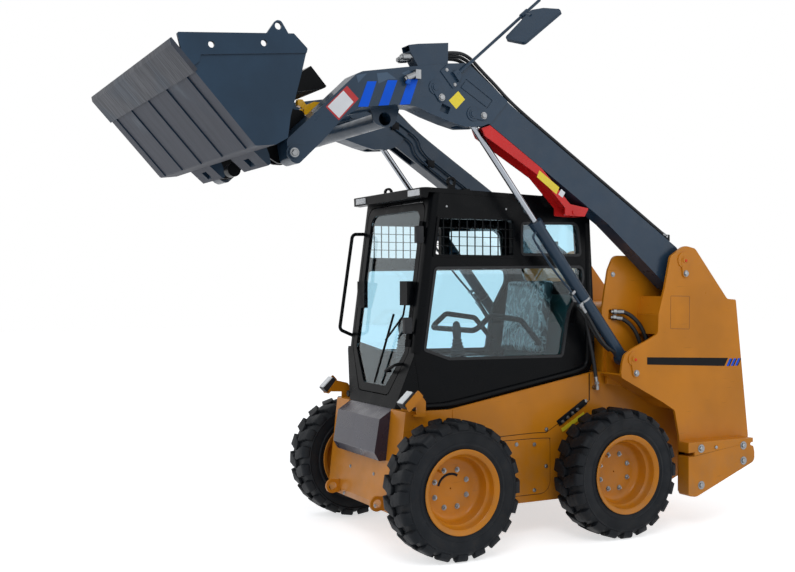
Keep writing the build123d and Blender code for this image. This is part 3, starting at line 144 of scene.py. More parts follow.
# ------------------------------------------------------------------ node helpers
class Shading:
    """A node tree that is put together node by node."""

    def __init__(self, owner):
        owner.use_nodes = True
        self.tree = owner.node_tree
        self.tree.nodes.clear()

    def node(self, kind, sockets=(), **settings):
        made = self.tree.nodes.new(kind)
        for key, value in settings.items():
            setattr(made, key, value)
        for key, value in dict(sockets).items():
            if isinstance(value, bpy.types.NodeSocket):
                self.tree.links.new(value, made.inputs[key])
            else:
                made.inputs[key].default_value = value
        return made

    def math(self, operation, a, b):
        return self.node("ShaderNodeMath", {0: a, 1: b}, operation=operation).outputs[0]

    def seen(self):
        """1 on the rays of the camera, of gloss and of glass, and 0 on all others."""
        path = self.node("ShaderNodeLightPath")
        seen = path.outputs["Is Camera Ray"]
        for kind in ("Is Glossy Ray", "Is Transmission Ray"):
            seen = self.math("MAXIMUM", seen, path.outputs[kind])
        return seen

    def end(self, kind, shader):
        """Lead a shader to the tree's output."""
        self.tree.links.new(shader.outputs[0], self.node(kind).inputs["Surface"])


class Finish(Shading):
    """A procedural material in the object's own coordinates."""

    def __init__(self, name):
        self.material = bpy.data.materials.new(name)
        super().__init__(self.material)
        self.place = self.node("ShaderNodeTexCoord").outputs["Object"]

    def stretch(self, scale):
        """The object's coordinates, scaled along each axis."""
        return self.node("ShaderNodeMapping", {"Vector": self.place, "Scale": scale}).outputs["Vector"]

    def noise(self, scale, detail=4.0, roughness=0.55, stretch=None, distortion=0.0):
        vector = self.stretch(stretch) if stretch else self.place
        return self.node("ShaderNodeTexNoise", {
            "Vector": vector, "Scale": scale, "Detail": detail, "Roughness": roughness,
            "Distortion": distortion}).outputs["Fac"]

    def cells(self, scale):
        return self.node("ShaderNodeTexVoronoi", {"Vector": self.place, "Scale": scale}).outputs["Distance"]

    def ramp(self, value, low, high, start=0.0, end=1.0):
        """value from low..high, eased to start..end."""
        return self.node("ShaderNodeMapRange", {
            "Value": value, "From Min": low, "From Max": high, "To Min": start, "To Max": end},
            interpolation_type="SMOOTHSTEP").outputs["Result"]

    def times(self, a, b):
        return self.math("MULTIPLY", a, b)

    def mix(self, share, a, b):
        made = self.node("ShaderNodeMix", data_type="RGBA")
        for index, value in ((0, share), (6, a), (7, b)):
            if isinstance(value, bpy.types.NodeSocket):
                self.tree.links.new(value, made.inputs[index])
            else:
                made.inputs[index].default_value = value if index == 0 else (*value, 1.0)
        return made.outputs[2]

    def mottled(self, noise, colour, dark, light, high=0.7):
        """A colour that wanders between a darker and a lighter shade."""
        return self.mix(self.ramp(noise, 0.3, high), shade(colour, dark), shade(colour, light))

    def upward(self, vector):
        return self.node("ShaderNodeSeparateXYZ", {"Vector": vector}).outputs["Z"]

    def bump(self, height, distance, strength):
        return self.node(
            "ShaderNodeBump", {"Height": height, "Distance": distance, "Strength": strength}).outputs["Normal"]

    def surface(self, **sockets):
        self.end("ShaderNodeOutputMaterial", self.node(
            "ShaderNodeBsdfPrincipled", {key.replace("_", " "): value for key, value in sockets.items()}))
        return self.material


def shade(colour, factor):
    return tuple(min(1.0, v * factor) for v in colour)


def painted_steel(name, colour, dust, gloss, coat, dust_share, dust_top, shine):
    """Sprayed paint with orange peel, small scratches, and dust that thickens towards the ground."""
    f = Finish(name)
    tone = f.mottled(f.noise(2.3, 3.0), colour, 0.88, 1.1)
    scratch = f.ramp(f.noise(34.0, 2.0, 0.4, stretch=(1.0, 0.16, 2.4)), 0.705, 0.735)
    tone = f.mix(f.times(scratch, 0.3), tone, shade(colour, 0.55))
    low = f.ramp(f.upward(f.place), 0.1, dust_top, 1.0, 0.06)
    patches = f.ramp(f.noise(6.5, 8.0, 0.68), 0.36, 0.78)
    grime = f.times(f.times(low, patches), dust_share)
    tone = f.mix(grime, tone, dust)
    gloss_range = f.ramp(f.noise(11.0, 5.0), 0.25, 0.75, gloss - 0.07, gloss + 0.09)
    return f.surface(
        Base_Color=tone, Roughness=f.math("ADD", gloss_range, f.times(grime, 0.45)), Specular_IOR_Level=shine,
        Coat_Weight=coat, Coat_Roughness=0.16, Normal=f.bump(f.noise(420.0, 2.0), 0.0006, 0.16))


def worn_steel(name, steel, paint_colour):
    """Steel scoured by soil: bare streaks, remains of paint and specks of rust."""
    f = Finish(name)
    streaks = f.noise(5.0, 8.0, 0.62, stretch=(14.0, 1.0, 1.0))
    patches = f.noise(2.6, 6.0, 0.6)
    left = f.ramp(f.math("ADD", patches, f.times(streaks, 0.35)), 0.62, 0.8, 0.0, 0.5)
    tone = f.mix(left, f.mottled(streaks, steel, 0.6, 1.05, high=0.72), shade(paint_colour, 0.9))
    rust = f.ramp(f.noise(16.0, 9.0, 0.7), 0.63, 0.76)
    return f.surface(
        Base_Color=f.mix(f.times(rust, 0.4), tone, (0.16, 0.085, 0.05)), Specular_IOR_Level=0.25,
        Roughness=f.ramp(streaks, 0.2, 0.8, 0.62, 0.38), Normal=f.bump(streaks, 0.0012, 0.2))


def scoured_paint(name, paint_colour, steel):
    """Paint scoured off the faces that look down: streaks of bare grey steel run along the floor."""
    f = Finish(name)
    down = f.ramp(f.upward(f.node("ShaderNodeNewGeometry").outputs["Normal"]), -0.35, -0.15, 1.0, 0.0)
    streaks = f.noise(4.0, 8.0, 0.64, stretch=(9.0, 0.8, 0.8))
    patches = f.noise(2.2, 6.0, 0.6)
    rust = f.ramp(f.noise(15.0, 9.0, 0.7), 0.62, 0.75)
    bare = f.mix(f.times(rust, 0.25), f.mottled(streaks, steel, 0.78, 1.05, high=0.72), (0.1, 0.07, 0.05))
    chips = f.ramp(f.noise(30.0, 5.0, 0.7), 0.7, 0.74)
    coat = f.mix(f.times(chips, 0.5), f.mottled(patches, paint_colour, 0.85, 1.15), shade(steel, 0.8))
    share = f.times(down, f.ramp(f.math("ADD", patches, f.times(streaks, 0.5)), 0.55, 0.72, 0.35, 1.0))
    return f.surface(
        Base_Color=f.mix(share, coat, bare), Roughness=f.ramp(share, 0.0, 1.0, 0.34, 0.6),
        Specular_IOR_Level=0.22, Normal=f.bump(streaks, 0.001, 0.12))


def tyre_rubber(name, rubber, dust):
    """Dark rubber with soil in its pores."""
    f = Finish(name)
    soil = f.times(f.ramp(f.noise(14.0, 9.0, 0.72), 0.5, 0.85), 0.12)
    return f.surface(
        Base_Color=f.mix(soil, f.mottled(f.noise(3.4, 4.0), rubber, 0.8, 1.3), shade(dust, 0.62)),
        Roughness=f.ramp(f.noise(9.0, 5.0), 0.3, 0.7, 0.5, 0.72), Specular_IOR_Level=0.2,
        Normal=f.bump(f.noise(260.0, 3.0), 0.0012, 0.3))


def clear_glass(name, tint):
    """Tinted safety glass with a faint film of dust."""
    f = Finish(name)
    film = f.ramp(f.noise(7.0, 6.0, 0.6), 0.35, 0.8, 0.0, 0.02)
    return f.surface(
        Base_Color=(*tint, 1.0), Transmission_Weight=1.0, IOR=1.45, Specular_IOR_Level=0.16, Roughness=film)


def bright_steel(name, colour, roughness):
    """Plated steel with faint turning marks."""
    f = Finish(name)
    marks = f.ramp(f.noise(90.0, 3.0, 0.5, stretch=(1.0, 1.0, 0.2)), 0.3, 0.7, roughness, roughness + 0.12)
    return f.surface(Base_Color=(*colour, 1.0), Metallic=1.0, Roughness=marks)


def crinkled_film(name):
    """Clear film drawn tight over dark vinyl, with painted highlights on the creases that run together."""
    f = Finish(name)
    creases = f.noise(13.0, 6.0, 0.62, stretch=(1.6, 1.0, 0.55), distortion=1.3)
    valley = f.math("ABSOLUTE", f.math("SUBTRACT", f.times(creases, 2.0), 1.0), 0.0)
    ridges = f.math("SUBTRACT", 1.0, valley)
    vinyl = f.mix(f.ramp(f.noise(4.0, 3.0), 0.35, 0.65), (0.03, 0.045, 0.048), (0.075, 0.11, 0.112))
    # Painted highlight: the crests of the creases are mixed towards pale blue-white
    tone = f.mix(f.times(f.ramp(ridges, 0.9, 0.985), 0.75), vinyl, (0.55, 0.66, 0.66))
    return f.surface(
        Base_Color=tone, Roughness=0.26, Coat_Weight=0.9, Coat_Roughness=0.1, Normal=f.bump(ridges, 0.004, 0.8))


def moulded(name, colour, roughness):
    """Grained moulded plastic or rubber."""
    f = Finish(name)
    return f.surface(
        Base_Color=f.mottled(f.noise(4.0, 3.0), colour, 0.85, 1.15), Specular_IOR_Level=0.25,
        Roughness=f.ramp(f.noise(20.0, 3.0), 0.3, 0.7, roughness - 0.06, roughness + 0.08),
        Normal=f.bump(f.cells(520.0), 0.0008, 0.3))


# ------------------------------------------------------------------ shapes
def at(x, y, z):
    """A place in the loader's own millimetres, in the frame's metres."""
    return TO_FRAME @ Vector((x, y, z))


def settled(name, data, finish, body, replaces=()):
    """Link a piece, give it its finish, and let it ride on its body."""
    made = bpy.data.objects.new(name, data)
    bpy.context.scene.collection.objects.link(made)
    data.materials.append(FINISHES[finish])
    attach(made, body)
    if replaces:
        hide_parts(*replaces)
    return made


def finished(name, bm, finish, body, replaces=(), sharp=34):
    """Close a bmesh drawn in millimetres and make it a piece."""
    bmesh.ops.remove_doubles(bm, verts=bm.verts, dist=0.01)
    bmesh.ops.recalc_face_normals(bm, faces=bm.faces)
    bm.transform(TO_FRAME)
    mesh = bpy.data.meshes.new(name)
    bm.to_mesh(mesh)
    bm.free()
    mesh.shade_smooth()
    mesh.set_sharp_from_angle(angle=radians(sharp))
    return settled(name, mesh, finish, body, replaces)


def add(bm, part, *matrices):
    """Add a part to bm, once for each matrix, or once as it stands, and free the part."""
    bmesh.ops.recalc_face_normals(part, faces=part.faces)
    for matrix in matrices or (Matrix.Identity(4),):
        spare = bpy.data.meshes.new("part")
        part.to_mesh(spare)
        spare.transform(matrix)
        if matrix.determinant() < 0:
            spare.flip_normals()
        bm.from_mesh(spare)
        bpy.data.meshes.remove(spare)
    part.free()


def bevelled(part, geom, offset, segments, affect="EDGES"):
    bmesh.ops.bevel(part, geom=geom, offset=offset, offset_type="OFFSET", segments=segments, profile=0.5,
                    affect=affect, material=-1)


def rounded(part, rows, x):
    """Flat face across X through rows (y, z, corner cut)."""
    corners = [part.verts.new((x, row[0], row[1])) for row in rows]
    part.faces.new(corners)
    for corner, row in zip(corners, rows):
        if len(row) > 2 and row[2]:
            bevelled(part, [corner], row[2], 4, "VERTICES")


def pulled(part, vector):
    """Extrude every face of the part along a vector."""
    moved = bmesh.ops.extrude_face_region(part, geom=part.faces[:])["geom"]
    verts = [item for item in moved if isinstance(item, bmesh.types.BMVert)]
    bmesh.ops.translate(part, verts=verts, vec=vector)
    bmesh.ops.recalc_face_normals(part, faces=part.faces)


def softened(part, offset, segments=2, least=50):
    """Bevel the part's edges that are sharper than an angle."""
    joints = (edge for edge in part.edges if len(edge.link_faces) == 2)
    bevelled(part, [edge for edge in joints if edge.calc_face_angle() > radians(least)], offset, segments)


def plate(bm, rows, x_from, x_to, soft=0.0, matrices=()):
    """Plate with a side outline of rows (y, z, corner cut), between two x planes."""
    part = bmesh.new()
    rounded(part, rows, x_from)
    pulled(part, (x_to - x_from, 0, 0))
    if soft:
        softened(part, soft)
    add(bm, part, *matrices)


def ring_plate(bm, rows, width, x_from, x_to, matrices=()):
    """Flat ring inside an outline, between two x planes."""
    part = bmesh.new()
    rounded(part, rows, x_from)
    inner = part.faces[:]
    bmesh.ops.inset_region(part, faces=inner, thickness=width, use_boundary=True, use_even_offset=True)
    bmesh.ops.delete(part, geom=inner, context="FACES")
    pulled(part, (x_to - x_from, 0, 0))
    add(bm, part, *matrices)


def box(size):
    """Plain block about the origin."""
    part = bmesh.new()
    bmesh.ops.create_cube(part, size=1.0)
    bmesh.ops.scale(part, vec=size, verts=part.verts)
    return part


def block(bm, low, high, soft, matrices=()):
    """Block with softened edges between two corners."""
    low, high = Vector(low), Vector(high)
    part = box(high - low)
    bmesh.ops.translate(part, vec=(low + high) / 2, verts=part.verts)
    softened(part, soft)
    add(bm, part, *matrices)


def towards(place, axis):
    """Matrix that stands a shape made along Z on a place, along an axis."""
    return Matrix.Translation(place) @ Vector((0, 0, 1)).rotation_difference(Vector(axis)).to_matrix().to_4x4()


def drum(part, radius, low, high, segments=24, far_radius=None):
    """Closed cylinder or cone along Z between two heights."""
    bmesh.ops.create_cone(part, cap_ends=True, cap_tris=False, segments=segments, radius1=radius,
                          radius2=radius if far_radius is None else far_radius, depth=high - low,
                          matrix=Matrix.Translation((0, 0, (low + high) / 2)))


def drums(bm, place, axis, rows, matrices=BOTH):
    """Cylinders and cones on one axis. Each row says what drum is told."""
    part = bmesh.new()
    for row in rows:
        drum(part, *row)
    add(bm, part, *(matrix @ towards(place, axis) for matrix in matrices))


def spun(bm, points, centre, steps, axis=OUTWARD, angle=2 * pi, closed=True):
    """Turn a section about an axis: a closed one all the way round, or an open one by an angle."""
    verts = [bm.verts.new(point) for point in points]
    edges = [bm.edges.new(pair) for pair in zip(verts, verts[1:] + verts[:closed])]
    bmesh.ops.spin(bm, geom=verts + edges, cent=centre, axis=axis, dvec=(0, 0, 0), angle=angle, steps=steps,
                   use_merge=closed, use_duplicate=False)


def bolt(bm, place, axis, across, height, washer=0.0, matrices=BOTH):
    """Hexagon head with a chamfered top, on a washer."""
    part = bmesh.new()
    drum(part, across, 0, height, 6)
    top = [edge for edge in part.edges if all(vert.co.z > height - 0.01 for vert in edge.verts)]
    bevelled(part, top, across * 0.16, 1)
    if washer:
        drum(part, washer, -0.5, 3.0, 20, washer - 1.2)
    add(bm, part, *(matrix @ towards(place, axis) for matrix in matrices))


def fitting(bm, start, end, radius, matrices=BOTH):
    """Crimped sleeve, hexagon nut and collar on a hose's end, from the hose towards its port."""
    run = Vector(end) - Vector(start)
    reach = run.length
    crimps = [(radius * 1.07, reach * share, reach * (share + 0.05), 20) for share in (0.14, 0.24, 0.34)]
    drums(bm, start, run, (
        (radius, 0, reach * 0.5, 20, radius * 0.94), *crimps, (radius * 1.22, reach * 0.56, reach * 0.82, 6),
        (radius * 0.74, reach * 0.45, reach, 16)), matrices)


def lines(name, runs, finish, body, sides=(1, -1)):
    """Round hoses or pipes on smooth curves. A run is a radius and its points (x, y, z)."""
    curve = bpy.data.curves.new(name, "CURVE")
    curve.dimensions = "3D"
    curve.bevel_depth, curve.bevel_resolution, curve.use_fill_caps = 0.001, 3, True
    for radius, points in runs:
        for side in sides:
            spline = curve.splines.new("NURBS")
            spline.points.add(len(points) - 1)
            for point, (x, y, z) in zip(spline.points, points):
                point.co = (*at(side * x, y, z), 1.0)
                point.radius = radius
            spline.order_u, spline.use_endpoint_u, spline.resolution_u = 3, True, 8
    return settled(name, curve, finish, body)


# Half of the tyre's section from the middle of the tread to the bead: (across, radius)
TYRE_SECTION = (
    (0, 366), (40, 365.5), (80, 363), (98, 358.5), (110, 351), (118, 343), (121, 338), (123.5, 336), (125,
        332), (123.5, 328),
    (120.8, 325), (121.6, 302), (120.6, 280), (117.6, 270), (121, 265), (120.6, 257), (115.4, 251), (113.2,
        241), (110.8, 235),
    (110.8, 209.6))
# Foot of one lug on the unrolled tread: (from the middle, along the tread)
LUG_FOOT = (
    (-7, -20), (-7, 14), (8, 36), (30, 42), (44, 54), (70, 60), (84, 70), (130, 70), (130, -8), (96, -10), (84,
        -16), (66, -18),
    (52, -27), (30, -29), (18, -36), (5, -33))
LUG_MIDDLE = ((-10, -3), (30, 7), (66, 21), (90, 30), (130, 31))
LUG_CUTS = (22, 44, 62, 80, 92, 100, 108, 114, 120, 126)
# Top of a lug: (from the middle on the unrolled tread, across, radius)
LUG_TOP = (
    (-10, -10, 386.3), (0, 0, 386.3), (60, 60, 386), (90, 92, 384.6), (101, 106, 382), (108, 113.5, 377.5), (115,
        119.5, 369),
    (122, 123.5, 357), (130, 125.6, 343))


def between_rows(rows, value):
    """Value read off rows (from, to), straight between them."""
    for (a, b), (c, d) in zip(rows, rows[1:]):
        if value <= c:
            return b + (d - b) * (value - a) / (c - a)
    return rows[-1][1]


# The carcass under the lugs, how deep a lug's foot goes into it, how much narrower its top is, and the turn's steps
CARCASS_ROWS, LUG_ROOT, LUG_TAPER, TYRE_STEPS = 14, 5, 0.84, 80


def wrapped(part):
    """Bend a lug drawn flat over the tyre: its foot goes into the carcass, its top follows the tread."""
    walls = [Vector(row) for row in TYRE_SECTION[:CARCASS_ROWS]]
    lengths = [0.0]
    for a, b in zip(walls, walls[1:]):
        lengths.append(lengths[-1] + (b - a).length)
    foot = [
        (run, wall.x - LUG_ROOT * min(1, run / 110), wall.y - LUG_ROOT) for run, wall in zip(lengths, walls)]
    foot = [(-10, -10, foot[0][2])] + foot
    for vert in part.verts:
        s, t, h = vert.co
        rows = LUG_TOP if h > 0 else foot
        x = between_rows([(row[0], row[1]) for row in rows], s)
        r = between_rows([(row[0], row[2]) for row in rows], s)
        if h > 0:
            middle = between_rows(LUG_MIDDLE, s)
            t = middle + (t - middle) * LUG_TAPER
        turn = t / TYRE_SECTION[0][1]
        vert.co = (x, r * sin(turn), r * cos(turn))


def tyre_shape(sizes):
    """Carcass and two staggered rows of lugs, about the X axis at the origin."""
    bm = bmesh.new()
    section = [Vector((x, 0, r)) for x, r in TYRE_SECTION]
    section = [Vector((-point.x, 0, point.z)) for point in reversed(section[1:])] + section
    spun(bm, section, (0, 0, 0), TYRE_STEPS)
    lug = bmesh.new()
    lug.faces.new([lug.verts.new((s, t, 0)) for s, t in LUG_FOOT])
    pulled(lug, (0, 0, 1))
    for cut in LUG_CUTS:
        bmesh.ops.bisect_plane(
            lug, geom=lug.verts[:] + lug.edges[:] + lug.faces[:], plane_co=(cut, 0, 0), plane_no=OUTWARD)
    wrapped(lug)
    softened(lug, 2.6, 2, 40)
    step = 2 * pi / sizes.lugs
    turns = [Matrix.Rotation(step * (i + 0.25), 4, "X") for i in range(sizes.lugs)]
    turns += [Matrix.Rotation(step * (i - 0.25), 4, "X") @ MIRROR_X for i in range(sizes.lugs)]
    add(bm, lug, *turns)
    return bm


# Section of a rim from its outer lip over the well and the disc, and back under the tyre: (across, radius)
RIM_SECTION = (
    (116, 236), (120, 236), (122, 233), (121, 229), (117, 224), (113, 212), (107, 206), (76, 203), (64, 197), (56,
        188), (30, 183),
    (8, 180), (-4, 174), (-12, 163), (-16.5, 150), (-18, 136), (-18, 5), (-34, 5), (-34, 31), (-71, 31), (-71,
        72), (-30, 72),
    (-30, 148), (-30, 166), (-36, 181), (-56, 188), (-64, 197), (-76, 203), (-107, 206), (-113, 212), (-117,
        224), (-121, 229),
    (-122, 233), (-120, 236), (-116, 236), (-112, 231), (-111.5, 214), (-105, 209.3), (-76, 209.3), (-60, 196), (-50,
        190),
    (50, 190), (60, 196), (76, 209.3), (105, 209.3), (111.5, 214), (112, 231))


# The cloth's mesh and the furthest that a point of it may move, in metres, and the frames that it swells for
PAD_VOXEL, PAD_MOVE, PAD_FRAMES = 0.006, 0.006, 20


def wrinkled_pad(name, low, high, lean, node):
    """Upholstered pad between two corners, its back edge leaning by lean, swollen as cloth."""
    size, middle = Vector(high) - Vector(low), (Vector(high) + Vector(low)) / 2
    part = box(size * 0.93)
    softened(part, min(size) * 0.24, 3)
    bmesh.ops.translate(part, vec=middle, verts=part.verts)
    for vert in part.verts:
        vert.co.y += lean * (vert.co.z - low[2]) / size.z
    part.transform(TO_FRAME)
    mesh = bpy.data.meshes.new(name)
    part.to_mesh(mesh)
    part.free()
    pad = bpy.data.objects.new(name, mesh)
    scene = bpy.context.scene
    scene.collection.objects.link(pad)
    remesh = pad.modifiers.new("remesh", "REMESH")
    remesh.mode, remesh.voxel_size, remesh.use_smooth_shade = "VOXEL", PAD_VOXEL, True
    swollen = baked(pad)
    before = [vert.co.copy() for vert in swollen.data.vertices]
    cloth = swollen.modifiers.new("cloth", "CLOTH")
    settings = cloth.settings
    settings.use_pressure, settings.uniform_pressure_force = True, 4.0
    settings.effector_weights.gravity = 0.0
    settings.quality = 5
    settings.tension_stiffness = settings.compression_stiffness = 12.0
    cloth.point_cache.frame_start, cloth.point_cache.frame_end = 1, PAD_FRAMES
    for step in range(1, PAD_FRAMES + 1):
        scene.frame_set(step)
    swollen = baked(swollen)
    scene.frame_set(1)
    for vert, start in zip(swollen.data.vertices, before):
        moved = vert.co - start
        if moved.length > PAD_MOVE:
            vert.co = start + moved * (PAD_MOVE / moved.length)
    mesh = swollen.data
    bpy.data.objects.remove(swollen)
    return settled(name, mesh, "cloth", "machine", (node,))


def baked(source):
    """The object with its modifiers applied, as a new object in its place."""
    graph = bpy.context.evaluated_depsgraph_get()
    mesh = bpy.data.meshes.new_from_object(source.evaluated_get(graph), depsgraph=graph)
    made = bpy.data.objects.new(source.name, mesh)
    bpy.context.scene.collection.objects.link(made)
    bpy.data.objects.remove(source)
    return made


# ------------------------------------------------------------------ tables of small pieces
ARM_SIGNS = (
    # name, finish, x, thickness, corners (y, z)
    ("arm_stripes", "stripe", ARM_FACE, 1.0, (
        ((-1076, 2606), (-1021, 2611), (-1071, 2471), (-1131, 2466)),
        ((-954, 2623), (-895, 2628), (-948, 2489), (-1010, 2481)),
        ((-824, 2642), (-766, 2647), (-818, 2504), (-881, 2496)))),
    ("arm_bands", "band", ARM_FACE, 0.8, (
        ((-1142, 2634), (-1078, 2649), (-1131, 2592)), ((-1020, 2655), (-957, 2666), (-900, 2634), (-950, 2628),
            (-1010, 2600)),
        ((-870, 2668), (-826, 2690), (-770, 2655), (-822, 2648)))),
    ("arm_plate_red", "decal_red", ARM_FACE, 0.8, (((-1196, 2572), (-1128, 2509), (-1244, 2386), (-1319, 2452)),)),
    ("arm_plate_white", "decal_white", ARM_FACE, 1.3, (((-1217, 2545), (-1158, 2489), (-1242, 2398), (-1308, 2454)),)),
    ("arm_plate_yellow", "decal_yellow", ARM_FACE, 1.0, (((-511, 2601), (-467, 2558), (-524, 2500), (-572, 2544)),)),
)
LOCK_SIGNS = (
    ("lock_plate_yellow", "decal_yellow", ((50, 2187), (193, 2093), (172, 2052), (32, 2147))),
    ("lock_plate_white", "decal_white", ((207, 2084), (236, 2064), (216, 2033), (186, 2052))),
)
TOWER_STRIP = ((816, 1071), (1488, 1045), (1456, 994), (816, 1026))
HASH_FIRST, HASH_STEP, HASH_COUNT = 1474, 37, 3
BLANK_PLATE = ((1006, 1448, 6), (1163, 1445, 6), (1160, 1236, 6), (1003, 1242, 6))
UPPER_SIDE_PLATE = ((-445, 613, 0), (120, 628, 20), (214, 625, 20), (534, 800, 10), (534, 966, 4), (-445, 798, 0))
# Painted shadow in the gap behind the upper plate's rear edge: corners (y, z)
SEAM_GAP_SHADOW = ((536, 800), (544, 800), (544, 968), (536, 968))
ACCESS_PLATE = ((-210, 590, 20), (165, 590, 70), (239, 585, 60), (239, 258, 70), (-210, 258, 40))
NIPPLE_STRIP = ((286, 688, 5), (312, 656, 5), (522, 782, 5), (494, 812, 5))
NIPPLES = ((330, 682), (368, 706), (404, 729), (441, 751))
SIDE_SIGN = ((322, 640, 3), (334, 618, 3), (506, 706, 3), (494, 732, 3))
WEIGHT_ROWS = (
    (1066, 539, 8), (1613, 535, 4), (1613, 507, 2), (1590, 503, 6), (1590, 489, 6), (1615, 482, 2), (1626, 445,
        8), (1626, 384, 26),
    (1129, 198, 18), (1066, 209, 16), (1066, 452, 2), (1116, 455, 2), (1116, 477, 2), (1066, 474, 2))
# bolts: x of the seat, across corners, height, washer, places (y, z)
SIDE_BOLTS = (
    (CHASSIS_FACE + 4, 9, 7, 13, ((-5, 566), (124, 557), (210, 420), (124, 282), (-150, 430))),
    (CHASSIS_FACE + 3.5, 9, 7, 13, ((213, 642), (509, 797), (-380, 640))),
    (WEIGHT_FACE, 16, 13, 27, ((1169, 497), (1527, 491), (1527, 394), (1169, 269))),
    (WEIGHT_FACE, 11, 9, 0, ((1291, 497),)),
    (INNER_FACE, 12, 9, 17, ((714, 1582),)),
    (TOWER_FACE + 8, 16, 12, 21, ((1125, 1587), (726, 977))),
)
ARM_BOLTS = (
    (ARM_FACE + 8, 16, 12, 21, ((-621, 2556), (-346, 2475))),
    (ARM_FACE + 12, 18, 13, 26, ((-1499, 2201),)),
    (ARM_FACE + 6, 8, 6, 11, ((-588, 2712), (-536, 2634))),
)
TOP_LINE = (
    (-580, 2812), (-500, 2826), (-420, 2806), (-342, 2736), (-249, 2664), (-165, 2590), (-60, 2516), (140,
        2388), (420, 2209),
    (700, 2030), (930, 1882), (1030, 1818))
INNER_PIPE = (
    (-500, 2657), (-363, 2578), (-230, 2497), (-180, 2458), (-166, 2400), (-112, 2344), (29, 2254), (300, 2080), (556,
        1916),
    (800, 1722), (960, 1594))
LIFT_BASE, LIFT_RUN = (711, 1064), (-0.62179, 0.78318)


# ------------------------------------------------------------------ finishes
FINISHES = {}


def make_finishes(paints):
    body, arms, dust = tuple(paints.body), tuple(paints.arms), tuple(paints.dust)
    for key, name, colour, *wear in (
            # key, name, colour, gloss, coat, share and top of the dust, shine
            ("yellow", "body_yellow", body, 0.34, 0.12, 0.35, 0.9, 0.2),
            ("arm", "arm_grey", arms, 0.32, 0.1, 0.06, 3.4, 0.22),
            ("black", "cab_black", tuple(paints.cab), 0.3, 0.02, 0.01, 2.4, 0.07),
            ("cover", "cover_black", tuple(paints.cover), 0.26, 0.3, 0.08, 1.6, 0.35),
            ("red", "lock_red", tuple(paints.lock), 0.32, 0.1, 0.04, 3.0, 0.2),
            ("lever_yellow", "lever_yellow", linear(226, 170, 20), 0.3, 0.4, 0.1, 3.0, 0.35),
            ("cast", "cast_iron", (0.05, 0.052, 0.055), 0.6, 0.0, 0.35, 0.9, 0.35),
            ("stripe", "stripe_blue", tuple(paints.stripe), 0.36, 0.0, 0.02, 3.2, 0.12),
            ("band", "band_grey", shade(arms, 1.7), 0.4, 0.2, 0.08, 3.2, 0.35),
            ("strip", "strip_black", (0.006, 0.007, 0.009), 0.4, 0.0, 0.03, 1.8, 0.08),
            ("decal_white", "sign_white", linear(214, 216, 220), 0.4, 0.2, 0.2, 3.2, 0.35),
            ("decal_red", "sign_red", linear(176, 30, 34), 0.4, 0.2, 0.1, 3.2, 0.35),
            ("decal_yellow", "sign_yellow", linear(222, 200, 38), 0.4, 0.2, 0.15, 3.2, 0.35),
            ("outline", "sign_outline", linear(120, 76, 30), 0.5, 0.1, 0.2, 1.8, 0.35)):
        FINISHES[key] = painted_steel(name, colour, dust, *wear)
    FINISHES.update({
        "bucket": scoured_paint("bucket_paint", arms, tuple(paints.steel)),
        "panel": moulded("rear_panel", linear(46, 84, 84), 0.35),
        "edge": worn_steel("edge_steel", shade(tuple(paints.steel), 0.85), arms),
        "rubber": tyre_rubber("tyre_rubber", tuple(paints.rubber), dust),
        "glass": clear_glass("cab_glass", tuple(paints.glass)),
        "chrome": bright_steel("rod_chrome", (0.3, 0.32, 0.35), 0.1),
        "plated": bright_steel("plated_steel", (0.26, 0.27, 0.28), 0.3),
        "plastic": moulded("dark_plastic", (0.014, 0.015, 0.018), 0.5),
        # Painted shadow for the seams and gaps of the side panels
        "seam": moulded("seam_shadow", linear(52, 32, 12), 0.7),
        "cloth": crinkled_film("wrapped_seat"),
        "hose": moulded("hose_rubber", (0.016, 0.017, 0.019), 0.46),
        "cap_blue": moulded("cap_blue", linear(24, 84, 170), 0.4),
        "cap_red": moulded("cap_red", linear(206, 60, 30), 0.4),
        "mirror": bright_steel("mirror_face", (0.86, 0.88, 0.9), 0.02),
        "lamp_white": moulded("lamp_white", linear(226, 228, 230), 0.3),
        "amber": clear_glass("amber_lens", linear(240, 120, 20)),
    })


# Drums of a wheel's stud and of its valve: radius, start, end, sides and the far end's radius
STUD = (6, 0, 19, 14, 5)
VALVE_AXIS, VALVE = (1, 0.5, -0.6), ((14, 0, 30, 20, 12), (7, 28, 48, 14), (5, 48, 58, 12))
RIM_STEPS = 72
# Painted shade on the front left disc: a black crescent that stands for a dark arc of shade; its inset, radii, start
# and turn
MARK_INSET, MARK_RADII, MARK_START, MARK_TURN = 18.2, (74, 88), radians(33), radians(109)
NIPPLE = ((12, 0, 6, 6), (8, 5, 13, 16, 6), (5, 13, 19, 12, 4))
PIN_CAPS = ((1116, 1671), (711, 1064))
# Painted shadow under the upper plate's lower edge: outline (y, z)
UPPER_SEAM_SHADOW = ((-445, 609), (120, 624), (214, 621), (536, 794), (536, 800), (214, 627), (120, 630), (-445, 615))
# Hoses along the arms: x and the step up from TOP_LINE
TOP_HOSES = ((612, 0), (588, -14), (560, -26))
FAR_HOSES = ((594, -6), (560, -8))
# Points of the hoses
TILT_LOOPS = (((491, -500, 2657), (488, -548, 2685), (470, -620, 2702), (452, -690, 2690), (450, -722, 2650),
    (450, -726, 2622)), ((491, -456, 2687), (486, -520, 2722), (476, -620, 2738), (466, -700, 2720),
    (462, -748, 2676), (462, -756, 2640)))
